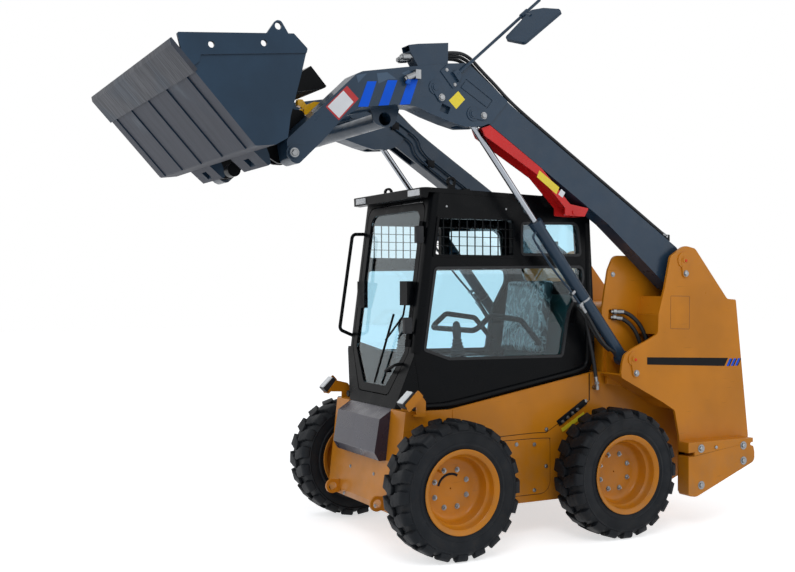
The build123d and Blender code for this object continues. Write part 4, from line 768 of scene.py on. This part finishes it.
# Places (y, z) of the clamps
INNER_CLAMPS = ((-330, 2560), (-60, 2324), (220, 2144), (480, 1978), (730, 1790))
OUTER_CLAMPS = ((-60, 2492), (300, 2263), (640, 2045), (930, 1859))
ARM_FITTINGS = (
    # start, end, share of the hose's radius
    ((612, 1000, 1838), (612, 1040, 1812), 1.1), ((588, 1000, 1824), (588, 1040, 1798), 1.1),
    ((560, 1000, 1812), (560, 1040, 1786), 1.1), ((489, -470, 2641), (491, -420, 2612), 1),
    ((450, -724, 2668), (450, -728, 2615), 1), ((462, -754, 2662), (460, -756, 2622), 1))
MACHINE_FITTINGS = (
    ((506, 772, 1347), (484, 692, 1349), 1.45), ((506, 760, 1305), (484, 690, 1314), 1.45),
    ((500, 561, 950), (500, 572, 892), 1.2))
TOWER_HOSES = (((504, 760, 1349), (512, 800, 1340), (532, 850, 1300), (548, 892, 1240), (558, 925, 1150),
    (560, 940, 1060)), ((504, 748, 1308), (510, 784, 1296), (526, 828, 1256), (538, 862, 1196),
    (546, 884, 1120), (548, 894, 1040)))
DROP_HOSE = ((466, 470, 1380), (486, 486, 1340), (497, 496, 1270), (500, 520, 1160), (500, 545, 1050),
    (500, 561, 950))
# Lines on the lift barrel: distance along it and distance out
BARREL_PIPE = ((1004, 40), (1004, 66), (990, 78), (940, 80), (760, 78), (640, 66), (560, 56), (470, 54))
BARREL_SECOND = ((500, 54), (430, 56), (330, 60), (230, 66), (150, 60), (96, 44))
BARREL_FIRST = ((420, 54), (340, 58), (250, 66), (170, 66), (110, 50), (72, 34))
# Clamps on the barrel: distance along it, and whether a ring goes round it there
BARREL_CLAMPS = ((560, False), (468, True))
BARREL_RING = ((38, 0, 6), (38, 0, -6), (35.8, 0, -6), (35.8, 0, 6))
# Corners of the window seals (y, z, cut)
SEALS = (((45, 1895, 30), (475, 1905, 50), (500, 1692, 30), (45, 1692, 30)), ((-551, 1622, 25), (513, 1637, 40),
    (521, 1539, 30), (407, 1345, 40), (358, 1072, 25), (-453, 1082, 15), (-624, 1141, 15)))
# Points of the cab's sill tube, and its radius
CAB_SILL = ((440, -690, 822), (440, -560, 822), (440, -459, 824), (440, -94, 887), (440, 281, 951),
    (440, 440, 980), (439, 540, 1010), (437, 552, 1110), (434, 550, 1300), (432, 548, 1560), (432, 545, 1900))
SILL_RADIUS = 20
ROOF_SCREWS = ((-470, 1972), (-60, 1968), (330, 1966))
COVER_SCREWS = ((-170, 406), (150, 408), (-225, 232), (205, 232))
# The mirror: corners, a point of its back, the way it faces, share of the head, lift and thickness
MIRROR_CORNERS = ((658, -212, 2915), (787, -164, 2871), (857, 41, 3057), (837, 41, 3072), (746, -1, 3094),
    (684, -44, 3091))
MIRROR_BACK, MIRROR_NORMAL = Vector((665, -73, 3080)), Vector((-0.45, 0.68, -0.58)).normalized()
MIRROR_SHARE, MIRROR_LIFT, MIRROR_THICK = 0.93, 13.5, 2.0
# Lights: name, place, size, energy
LIGHTS = (("key", (5.5, -3.0, 6.5), 3.0, 110.0), ("fill", (6.0, 4.5, 4.0), 5.0, 60.0), ("front",
    (-2.5, -7.0, 4.0), 4.0, 60.0))
CAMERA_PITCH, CAMERA_ROLL = radians(90 - 0.077), radians(0.088)


NODE_FINISHES = (
    ("yellow", ("chassis_frame", "tower_left", "tower_right", "counterweights", "engine_hood", "tailgate",
        "lamp_brackets")),
    ("yellow", ("rim_front_left", "rim_front_right", "rim_rear_left", "rim_rear_right", "axle_housings")),
    ("arm", ("arm_left", "arm_right", "arm_cross_tube", "lift_barrel_left", "lift_barrel_right", "tilt_barrel_left",
             "tilt_barrel_right", "outlet_box", "mirror_stalk", "mirror_head")),
    ("bucket", ("bucket_shell",)),
    ("black", ("cab_frame", "cab_roof", "window_guards", "cab_floor", "door_frame", "coupler_frame", "grab_rail",
        "door_handles",
               "wiper", "lap_bar")),
    ("lever_yellow", ("coupler_levers",)),
    ("red", ("arm_lock_bar",)),
    ("chrome", ("lift_rod_left", "lift_rod_right", "tilt_rod_left", "tilt_rod_right")),
    ("plated", ("quick_couplers",)),
    ("cover", ("front_cover",)),
    ("edge", ("cutting_edge",)),
    ("rubber", ("tyre_front_left", "tyre_front_right", "tyre_rear_left", "tyre_rear_right")),
    ("glass", ("cab_glass", "door_glass")),
    ("lamp_white", ("lamp_lenses",)),
    ("amber", ("beacon", "tail_lamps")),
    ("cast", ("engine_block",)),
    ("plastic", ("side_consoles", "lamps", "control_levers")),
    ("panel", ("rear_panel",)),
    ("cloth", ("seat_cushion", "seat_back")),
)


# ------------------------------------------------------------------ operators
class LOADER_OT_finishes(bpy.types.Operator):
    """Make the finishes and put them on the CAD nodes"""
    bl_idname = "loader.finishes"
    bl_label = "Finishes"

    def execute(self, context):
        make_finishes(context.scene.loader_paints)
        for finish, names in NODE_FINISHES:
            for name in names:
                for slot in NODES[name].material_slots:
                    slot.link = "OBJECT"
                    slot.material = FINISHES[finish]
        return {"FINISHED"}


class LOADER_OT_tyres(bpy.types.Operator):
    """Mould the four tyres with their lugs"""
    bl_idname = "loader.tyres"
    bl_label = "Tyres"

    def execute(self, context):
        for wheel, axle, side in WHEELS:
            bm = tyre_shape(context.scene.loader_sizes)
            place = Matrix.Translation(FROM_FRAME @ Vector((axle.x * side, axle.y, axle.z)))
            bm.transform(place @ SIDED[side])
            finished(f"tyre_tread_{wheel}", bm, "rubber", f"wheel_{wheel}", (f"tyre_{wheel}",), sharp=38)
        return {"FINISHED"}


class LOADER_OT_wheel_fittings(bpy.types.Operator):
    """Fit each wheel's disc, nuts and valve, and a black crescent of painted shade on the front left disc"""
    bl_idname = "loader.wheel_fittings"
    bl_label = "Wheel fittings"

    def execute(self, context):
        sizes = context.scene.loader_sizes
        for wheel, axle, side in WHEELS:
            middle = FROM_FRAME @ Vector((abs(axle.x), axle.y, axle.z))
            sided = SIDED[side]
            face = middle.x - DISC_INSET
            rim = bmesh.new()
            spun(rim, [(middle.x + x, middle.y, middle.z + r) for x, r in RIM_SECTION], middle, RIM_STEPS)
            rim.transform(sided)
            finished(f"rim_disc_{wheel}", rim, "yellow", f"wheel_{wheel}", (f"rim_{wheel}",), sharp=30)
            nuts = bmesh.new()
            for i in range(sizes.wheel_nuts):
                turn = 2 * pi * (i + 0.5) / sizes.wheel_nuts
                place = (face, middle.y + NUT_CIRCLE * cos(turn), middle.z + NUT_CIRCLE * sin(turn))
                bolt(nuts, place, (1, 0, 0), 12, 11, 16, (sided,))
                drums(nuts, place, OUTWARD, (STUD,), (sided,))
            finished(f"wheel_nuts_{wheel}", nuts, "plated", f"wheel_{wheel}")
            valve = bmesh.new()
            place = (face + 6, middle.y - 108, middle.z + 128)
            drums(valve, place, VALVE_AXIS, VALVE, (sided,))
            finished(f"valve_{wheel}", valve, "yellow", f"wheel_{wheel}")
        # Painted shade: a thin black crescent on the front left disc, where the rim shows a dark arc of shade
        mark = bmesh.new()
        middle = FROM_FRAME @ FRONT_AXLE
        ends = [
            (middle.x - MARK_INSET, middle.y + r * sin(MARK_START),
                middle.z + r * cos(MARK_START)) for r in MARK_RADII]
        spun(mark, ends, middle, 20, angle=MARK_TURN, closed=False)
        pulled(mark, (1.2, 0, 0))
        finished("rim_shade_arc", mark, "strip", "wheel_front_left")
        return {"FINISHED"}


class LOADER_OT_seat(bpy.types.Operator):
    """Swell the seat's cushion and back as cloth"""
    bl_idname = "loader.seat"
    bl_label = "Seat"

    def execute(self, context):
        cushion = wrinkled_pad("cushion_pad", (-238, -78, 906), (238, 398, 1056), 0, "seat_cushion")
        back = wrinkled_pad("back_pad", (-228, 306, 1064), (228, 402, 1566), 72, "seat_back")
        for pad in (cushion, back):
            smooth = pad.modifiers.new("smooth", "SUBSURF")
            smooth.levels = smooth.render_levels = 1
        return {"FINISHED"}


def sign(name, finish, outlines, x, thick, body, matrices=BOTH):
    """A piece of thin flat plates that lie on a face."""
    bm = bmesh.new()
    for corners in outlines:
        plate(bm, corners, x, x + thick, matrices=matrices)
    finished(name, bm, finish, body)


class LOADER_OT_signs(bpy.types.Operator):
    """Lay the stripes and blank plates on the arms and towers"""
    bl_idname = "loader.signs"
    bl_label = "Stripes and plates"

    def execute(self, context):
        for name, finish, x, thick, outlines in ARM_SIGNS:
            sign(name, finish, outlines, x, thick, "lift_arm")
        for name, finish, corners in LOCK_SIGNS:
            sign(name, finish, (corners,), LOCK_FACE, 1.0, "lift_arm", ())
        strips, hashes = [TOWER_STRIP], []
        for i in range(HASH_COUNT):
            y = HASH_FIRST + HASH_STEP * i
            strips.append(((y + 20, 992), (y + 28, 992), (y + 56, 1038), (y + 48, 1039)))
            hashes.append(((y, 993), (y + 18, 992), (y + 46, 1039), (y + 28, 1040)))
        sign("tower_strip", "strip", strips, TOWER_FACE, 0.8, "machine")
        sign("tower_hashes", "stripe", hashes, TOWER_FACE, 0.8, "machine")
        bm = bmesh.new()
        ring_plate(bm, BLANK_PLATE, 2.5, TOWER_FACE, TOWER_FACE + 0.7, matrices=BOTH)
        finished("tower_plate_edge", bm, "outline", "machine")
        sign("side_plate_blank", "decal_yellow", (SIDE_SIGN,), CHASSIS_FACE + UPPER_PANEL, 1, "machine")
        return {"FINISHED"}


class LOADER_OT_side_panels(bpy.types.Operator):
    """Fit the panels with the painted shadows in their seams, the notched weights, grease points, bolts and pin caps
    """
    bl_idname = "loader.side_panels"
    bl_label = "Side panels"

    def execute(self, context):
        bm = bmesh.new()
        plate(bm, UPPER_SIDE_PLATE, CHASSIS_FACE, CHASSIS_FACE + UPPER_PANEL, 1.0, BOTH)
        plate(bm, ACCESS_PLATE, CHASSIS_FACE, CHASSIS_FACE + ACCESS_PANEL, 1.2, BOTH)
        finished("side_panels", bm, "yellow", "machine", sharp=18)
        # Painted shadow: thin dark brown plates in the seam round the access plate, under the upper plate's lower edge
        # and in the gap at its rear
        bm = bmesh.new()
        wider = [(y + (4 if y > 0 else -4), z + (4 if z > 430 else -4), cut + 4) for y, z, cut in ACCESS_PLATE]
        ring_plate(bm, wider, 5, CHASSIS_FACE, CHASSIS_FACE + 1, BOTH)
        plate(bm, UPPER_SEAM_SHADOW,
              CHASSIS_FACE, CHASSIS_FACE + 1, matrices=BOTH)
        plate(bm, SEAM_GAP_SHADOW, CHASSIS_FACE, CHASSIS_FACE + 1, matrices=BOTH)
        finished("panel_seam_shadows", bm, "seam", "machine")
        bm = bmesh.new()
        plate(bm, WEIGHT_ROWS, TOWER_FACE + 0.05, WEIGHT_FACE, 2.5, BOTH)
        finished("notched_weights", bm, "yellow", "machine", ("counterweights",), sharp=18)
        bm = bmesh.new()
        plate(bm, NIPPLE_STRIP, CHASSIS_FACE + UPPER_PANEL, CHASSIS_FACE + 8, 1.0, BOTH)
        finished("grease_strip", bm, "strip", "machine")
        bm = bmesh.new()
        for y, z in NIPPLES:
            drums(bm, (CHASSIS_FACE + 8, y, z), OUTWARD, NIPPLE)
        finished("grease_nipples", bm, "plated", "machine")
        for name, body, table in (("machine_bolts", "machine", SIDE_BOLTS), ("arm_bolts", "lift_arm", ARM_BOLTS)):
            bm = bmesh.new()
            for x, across, height, washer, places in table:
                for y, z in places:
                    bolt(bm, (x, y, z), OUTWARD, across, height, washer)
            finished(name, bm, "plated", body)
        bm = bmesh.new()
        for y, z in PIN_CAPS:
            drums(bm, (TOWER_FACE + 12, y + 6, z - 4), OUTWARD, ((9, 0, 5, 16, 7),))
        finished("pin_caps", bm, "cap_red", "machine")
        return {"FINISHED"}


class LOADER_OT_hoses(bpy.types.Operator):
    """Lay the hoses, pipes, clamps and end fittings"""
    bl_idname = "loader.hoses"
    bl_label = "Hoses and pipes"

    def execute(self, context):
        sizes = context.scene.loader_sizes
        hose, pipe = sizes.hose * 500, sizes.pipe * 500
        runs = [(hose, [(x, y, z + up) for y, z in TOP_LINE]) for x, up in TOP_HOSES]
        lines("arm_hoses", runs, "hose", "lift_arm", (1,))
        far = [(hose, [(x, y, z + up) for y, z in TOP_LINE[3:]]) for x, up in FAR_HOSES]
        lines("arm_hoses_right", far, "hose", "lift_arm", (-1,))
        pipes = [(pipe, [(491, y + back, z + up) for y, z in INNER_PIPE]) for back, up in ((0, 0), (44, 30))]
        lines("arm_pipes", pipes, "arm", "lift_arm")
        loops = [(hose * 0.9, points) for points in TILT_LOOPS]
        lines("tilt_hoses", loops, "hose", "lift_arm")
        bm = bmesh.new()
        for y, z in INNER_CLAMPS:
            block(bm, (484, y - 14, z - 16), (512, y + 40, z + 34), 3, BOTH)
        for y, z in OUTER_CLAMPS:
            block(bm, (546, y - 12, z - 16), (624, y + 12, z + 20), 4, BOTH)
        block(bm, (546, 1010, 1790), (622, 1052, 1832), 4, BOTH)
        finished("line_clamps", bm, "strip", "lift_arm")
        bm = bmesh.new()
        for start, end, share in ARM_FITTINGS:
            fitting(bm, start, end, hose * share)
        drums(bm, (430, -659, 2610), (-1, 0, 0), ((23, -2, 7, 28, 21),))
        finished("arm_fittings", bm, "plated", "lift_arm")
        lines("tower_hoses", [(hose * 1.3, points) for points in TOWER_HOSES], "hose", "machine")
        bm = bmesh.new()
        for start, end, share in MACHINE_FITTINGS:
            fitting(bm, start, end, hose * share)
        drums(bm, (CHASSIS_FACE + 2, 575, 880), OUTWARD, ((15, 0, 30, 6),))
        drums(bm, (500, 573, 868), (0, 0, 1), ((12, 0, 26, 16),))
        finished("machine_fittings", bm, "plated", "machine")
        lines("drop_hoses", [(hose * 1.2, DROP_HOSE)], "hose", "machine")

        def along(distance, out, x=585.0):
            return (
                x, LIFT_BASE[0] + LIFT_RUN[0] * distance - LIFT_RUN[1] * out,
                LIFT_BASE[1] + LIFT_RUN[1] * distance + LIFT_RUN[0] * out)

        for side, label in ((1, "left"), (-1, "right")):
            body = f"lift_barrel_{label}"
            sided = (SIDED[side],)
            route = [along(d, o) for d, o in BARREL_PIPE]
            second = [along(d, o, 560) for d, o in BARREL_SECOND]
            first = [along(d, o, 588) for d, o in BARREL_FIRST]
            lines(f"barrel_pipe_{label}", [(pipe, route)], "arm", body, (side,))
            lines(f"barrel_hoses_{label}", [(hose, first), (hose * 0.9, second)], "hose", body,
                    (side,))
            bm = bmesh.new()
            run = (0, *LIFT_RUN)
            for distance, ringed in BARREL_CLAMPS:
                if ringed:
                    part = bmesh.new()
                    spun(part, BARREL_RING, (0, 0, 0), 32, (0, 0, 1))
                    add(bm, part, *(m @ towards((570, *along(distance, 0)[1:]), run) for m in sided))
                part = box((34, 30, 18))
                softened(part, 3)
                add(bm, part, *(m @ towards(along(distance, 52, 580), run) for m in sided))
            fitting(bm, along(408, 54, 588), along(474, 54, 586), hose * 1.15, sided)
            fitting(bm, along(540, 54, 562), along(492, 54, 561), hose * 1.1, sided)
            finished(f"barrel_clamps_{label}", bm, "plated", body)
        cap = bmesh.new()
        part = bmesh.new()
        drum(part, 15, 0, 26, 24, 12)
        softened(part, 3, 2)
        add(cap, part, towards((663, -838, 2632), (0, -0.3, -1)))
        finished("coupling_cap", cap, "cap_blue", "lift_arm")
        return {"FINISHED"}


class LOADER_OT_cab_trim(bpy.types.Operator):
    """Fit the window seals, sill tubes, hinge covers, screws, lever boots and mirror glass"""
    bl_idname = "loader.cab_trim"
    bl_label = "Cab trim"

    def execute(self, context):
        seals = bmesh.new()
        for rows in SEALS:
            ring_plate(seals, rows, 16, CAB_FACE - 14, CAB_FACE + 3, BOTH)
        finished("window_seals", seals, "hose", "machine")
        lines("cab_sills", [(SILL_RADIUS, CAB_SILL)], "black", "machine")
        covers = bmesh.new()
        block(covers, (386, -655, 1758), (420, -608, 1856), 5)
        block(covers, (386, -733, 1240), (420, -684, 1332), 5)
        finished("hinge_covers", covers, "plastic", "machine")
        screws = bmesh.new()
        for y, z in ROOF_SCREWS:
            bolt(screws, (CAB_FACE + 0.2, y, z), OUTWARD, 5, 4, 7)
        for x, z in COVER_SCREWS:
            bolt(screws, (x, -815 + (z - 252) * 0.1131, z), (0, -1, 0.11), 7, 6, 11, (SIDED[1],))
        finished("small_screws", screws, "plated", "machine")
        boots = bmesh.new()
        for fold in range(8):
            low, wide = 2 + fold * 20, 58 - fold * 4
            for row in ((wide - 6, low, low + 10, 28, wide), (wide, low + 10, low + 20, 28, wide - 9)):
                drums(boots, (340, -330, 1040), (0, -0.08, 1), (row,))
        finished("lever_boots", boots, "plastic", "machine")
        glass = bmesh.new()
        middle = sum((Vector(corner) for corner in MIRROR_CORNERS), Vector()) / len(MIRROR_CORNERS)
        normal = MIRROR_NORMAL
        part = bmesh.new()
        verts = []
        for corner in MIRROR_CORNERS:
            flat = Vector(corner) - normal * (Vector(corner) - MIRROR_BACK).dot(normal)
            verts.append(part.verts.new(middle + (flat - middle) * MIRROR_SHARE))
        part.faces.new(verts)
        bmesh.ops.translate(part, vec=-normal * ((middle - MIRROR_BACK).dot(normal)), verts=part.verts)
        for vert in part.verts:
            vert.co = vert.co - normal * ((vert.co - MIRROR_BACK).dot(normal) - MIRROR_LIFT)
        pulled(part, normal * MIRROR_THICK)
        add(glass, part)
        finished("mirror_glass", glass, "mirror", "lift_arm")
        return {"FINISHED"}


def background_world(sky):
    """Even studio light, seen as white by the camera, in reflections and through glass."""
    world = bpy.data.worlds.new("studio")
    bpy.context.scene.world = world
    s = Shading(world)
    light = s.node("ShaderNodeBackground", {"Color": (0.93, 0.965, 1.0, 1.0), "Strength": sky})
    white = s.node("ShaderNodeBackground", {"Color": (1.0, 1.0, 1.0, 1.0), "Strength": 1.0})
    s.end("ShaderNodeOutputWorld", s.node(
        "ShaderNodeMixShader", {0: s.seen(), 1: light.outputs[0], 2: white.outputs[0]}))


def floor_finish(lift):
    """Pale floor that keeps its shadow, and that the camera, gloss and glass see lifted to white."""
    f = Finish("floor_white")
    matt = f.node("ShaderNodeBsdfDiffuse", {"Color": (0.86, 0.86, 0.87, 1.0)})
    glow = f.node("ShaderNodeEmission", {"Color": (1.0, 1.0, 1.0, 1.0), "Strength": f.times(f.seen(), lift)})
    f.end("ShaderNodeOutputMaterial", f.node("ShaderNodeAddShader", {0: matt.outputs[0], 1: glow.outputs[0]}))
    return f.material


class LOADER_OT_stage(bpy.types.Operator):
    """Lay the pale floor, and place the lights and the camera"""
    bl_idname = "loader.stage"
    bl_label = "Stage"

    def execute(self, context):
        scene, settings = context.scene, context.scene.loader_stage
        mesh = bpy.data.meshes.new("floor")
        bm = bmesh.new()
        bmesh.ops.create_grid(bm, x_segments=1, y_segments=1, size=30.0)
        bm.to_mesh(mesh)
        bm.free()
        floor = bpy.data.objects.new("floor", mesh)
        scene.collection.objects.link(floor)
        floor.data.materials.append(floor_finish(settings.floor_lift))
        background_world(settings.sky)
        for name, place, size, energy in LIGHTS:
            light = bpy.data.lights.new(name, "AREA")
            light.energy, light.size = energy * settings.sun, size
            lamp = bpy.data.objects.new(name, light)
            lamp.location = place
            lamp.rotation_euler = (Vector((0, 0, 1.2)) - Vector(place)).to_track_quat("-Z", "Y").to_euler()
            scene.collection.objects.link(lamp)
        camera_data = bpy.data.cameras.new("camera")
        camera_data.lens, camera_data.sensor_width = settings.lens, 36.0
        camera = bpy.data.objects.new("camera", camera_data)
        camera.location = settings.eye
        camera.rotation_euler = (CAMERA_PITCH, CAMERA_ROLL, settings.heading)
        scene.collection.objects.link(camera)
        scene.camera = camera
        scene.view_settings.view_transform = "Standard"
        return {"FINISHED"}


class LOADER_PT_panel(bpy.types.Panel):
    """Lists the loader's steps and their settings"""
    bl_label = "Loader"
    bl_space_type = "VIEW_3D"
    bl_region_type = "UI"
    bl_category = "Loader"

    def draw(self, context):
        for group in (context.scene.loader_paints, context.scene.loader_sizes, context.scene.loader_stage):
            for name in group.bl_rna.properties.keys():
                if name not in ("rna_type", "name"):
                    self.layout.prop(group, name)
        for operator in OPERATORS:
            self.layout.operator(operator.bl_idname)


OPERATORS = (LOADER_OT_finishes, LOADER_OT_tyres, LOADER_OT_wheel_fittings, LOADER_OT_seat, LOADER_OT_signs,
        LOADER_OT_side_panels,
             LOADER_OT_hoses, LOADER_OT_cab_trim, LOADER_OT_stage)
CLASSES = (LoaderPaints, LoaderSizes, LoaderStage, *OPERATORS, LOADER_PT_panel)


def register():
    for cls in CLASSES:
        bpy.utils.register_class(cls)
    bpy.types.Scene.loader_paints = PointerProperty(type=LoaderPaints)
    bpy.types.Scene.loader_sizes = PointerProperty(type=LoaderSizes)
    bpy.types.Scene.loader_stage = PointerProperty(type=LoaderStage)


def unregister():
    del bpy.types.Scene.loader_paints, bpy.types.Scene.loader_sizes, bpy.types.Scene.loader_stage
    for cls in reversed(CLASSES):
        bpy.utils.unregister_class(cls)


def main():
    register()
    for operator in OPERATORS:
        getattr(bpy.ops.loader, operator.bl_idname.split(".")[1])()


if __name__ == "__main__":
    main()
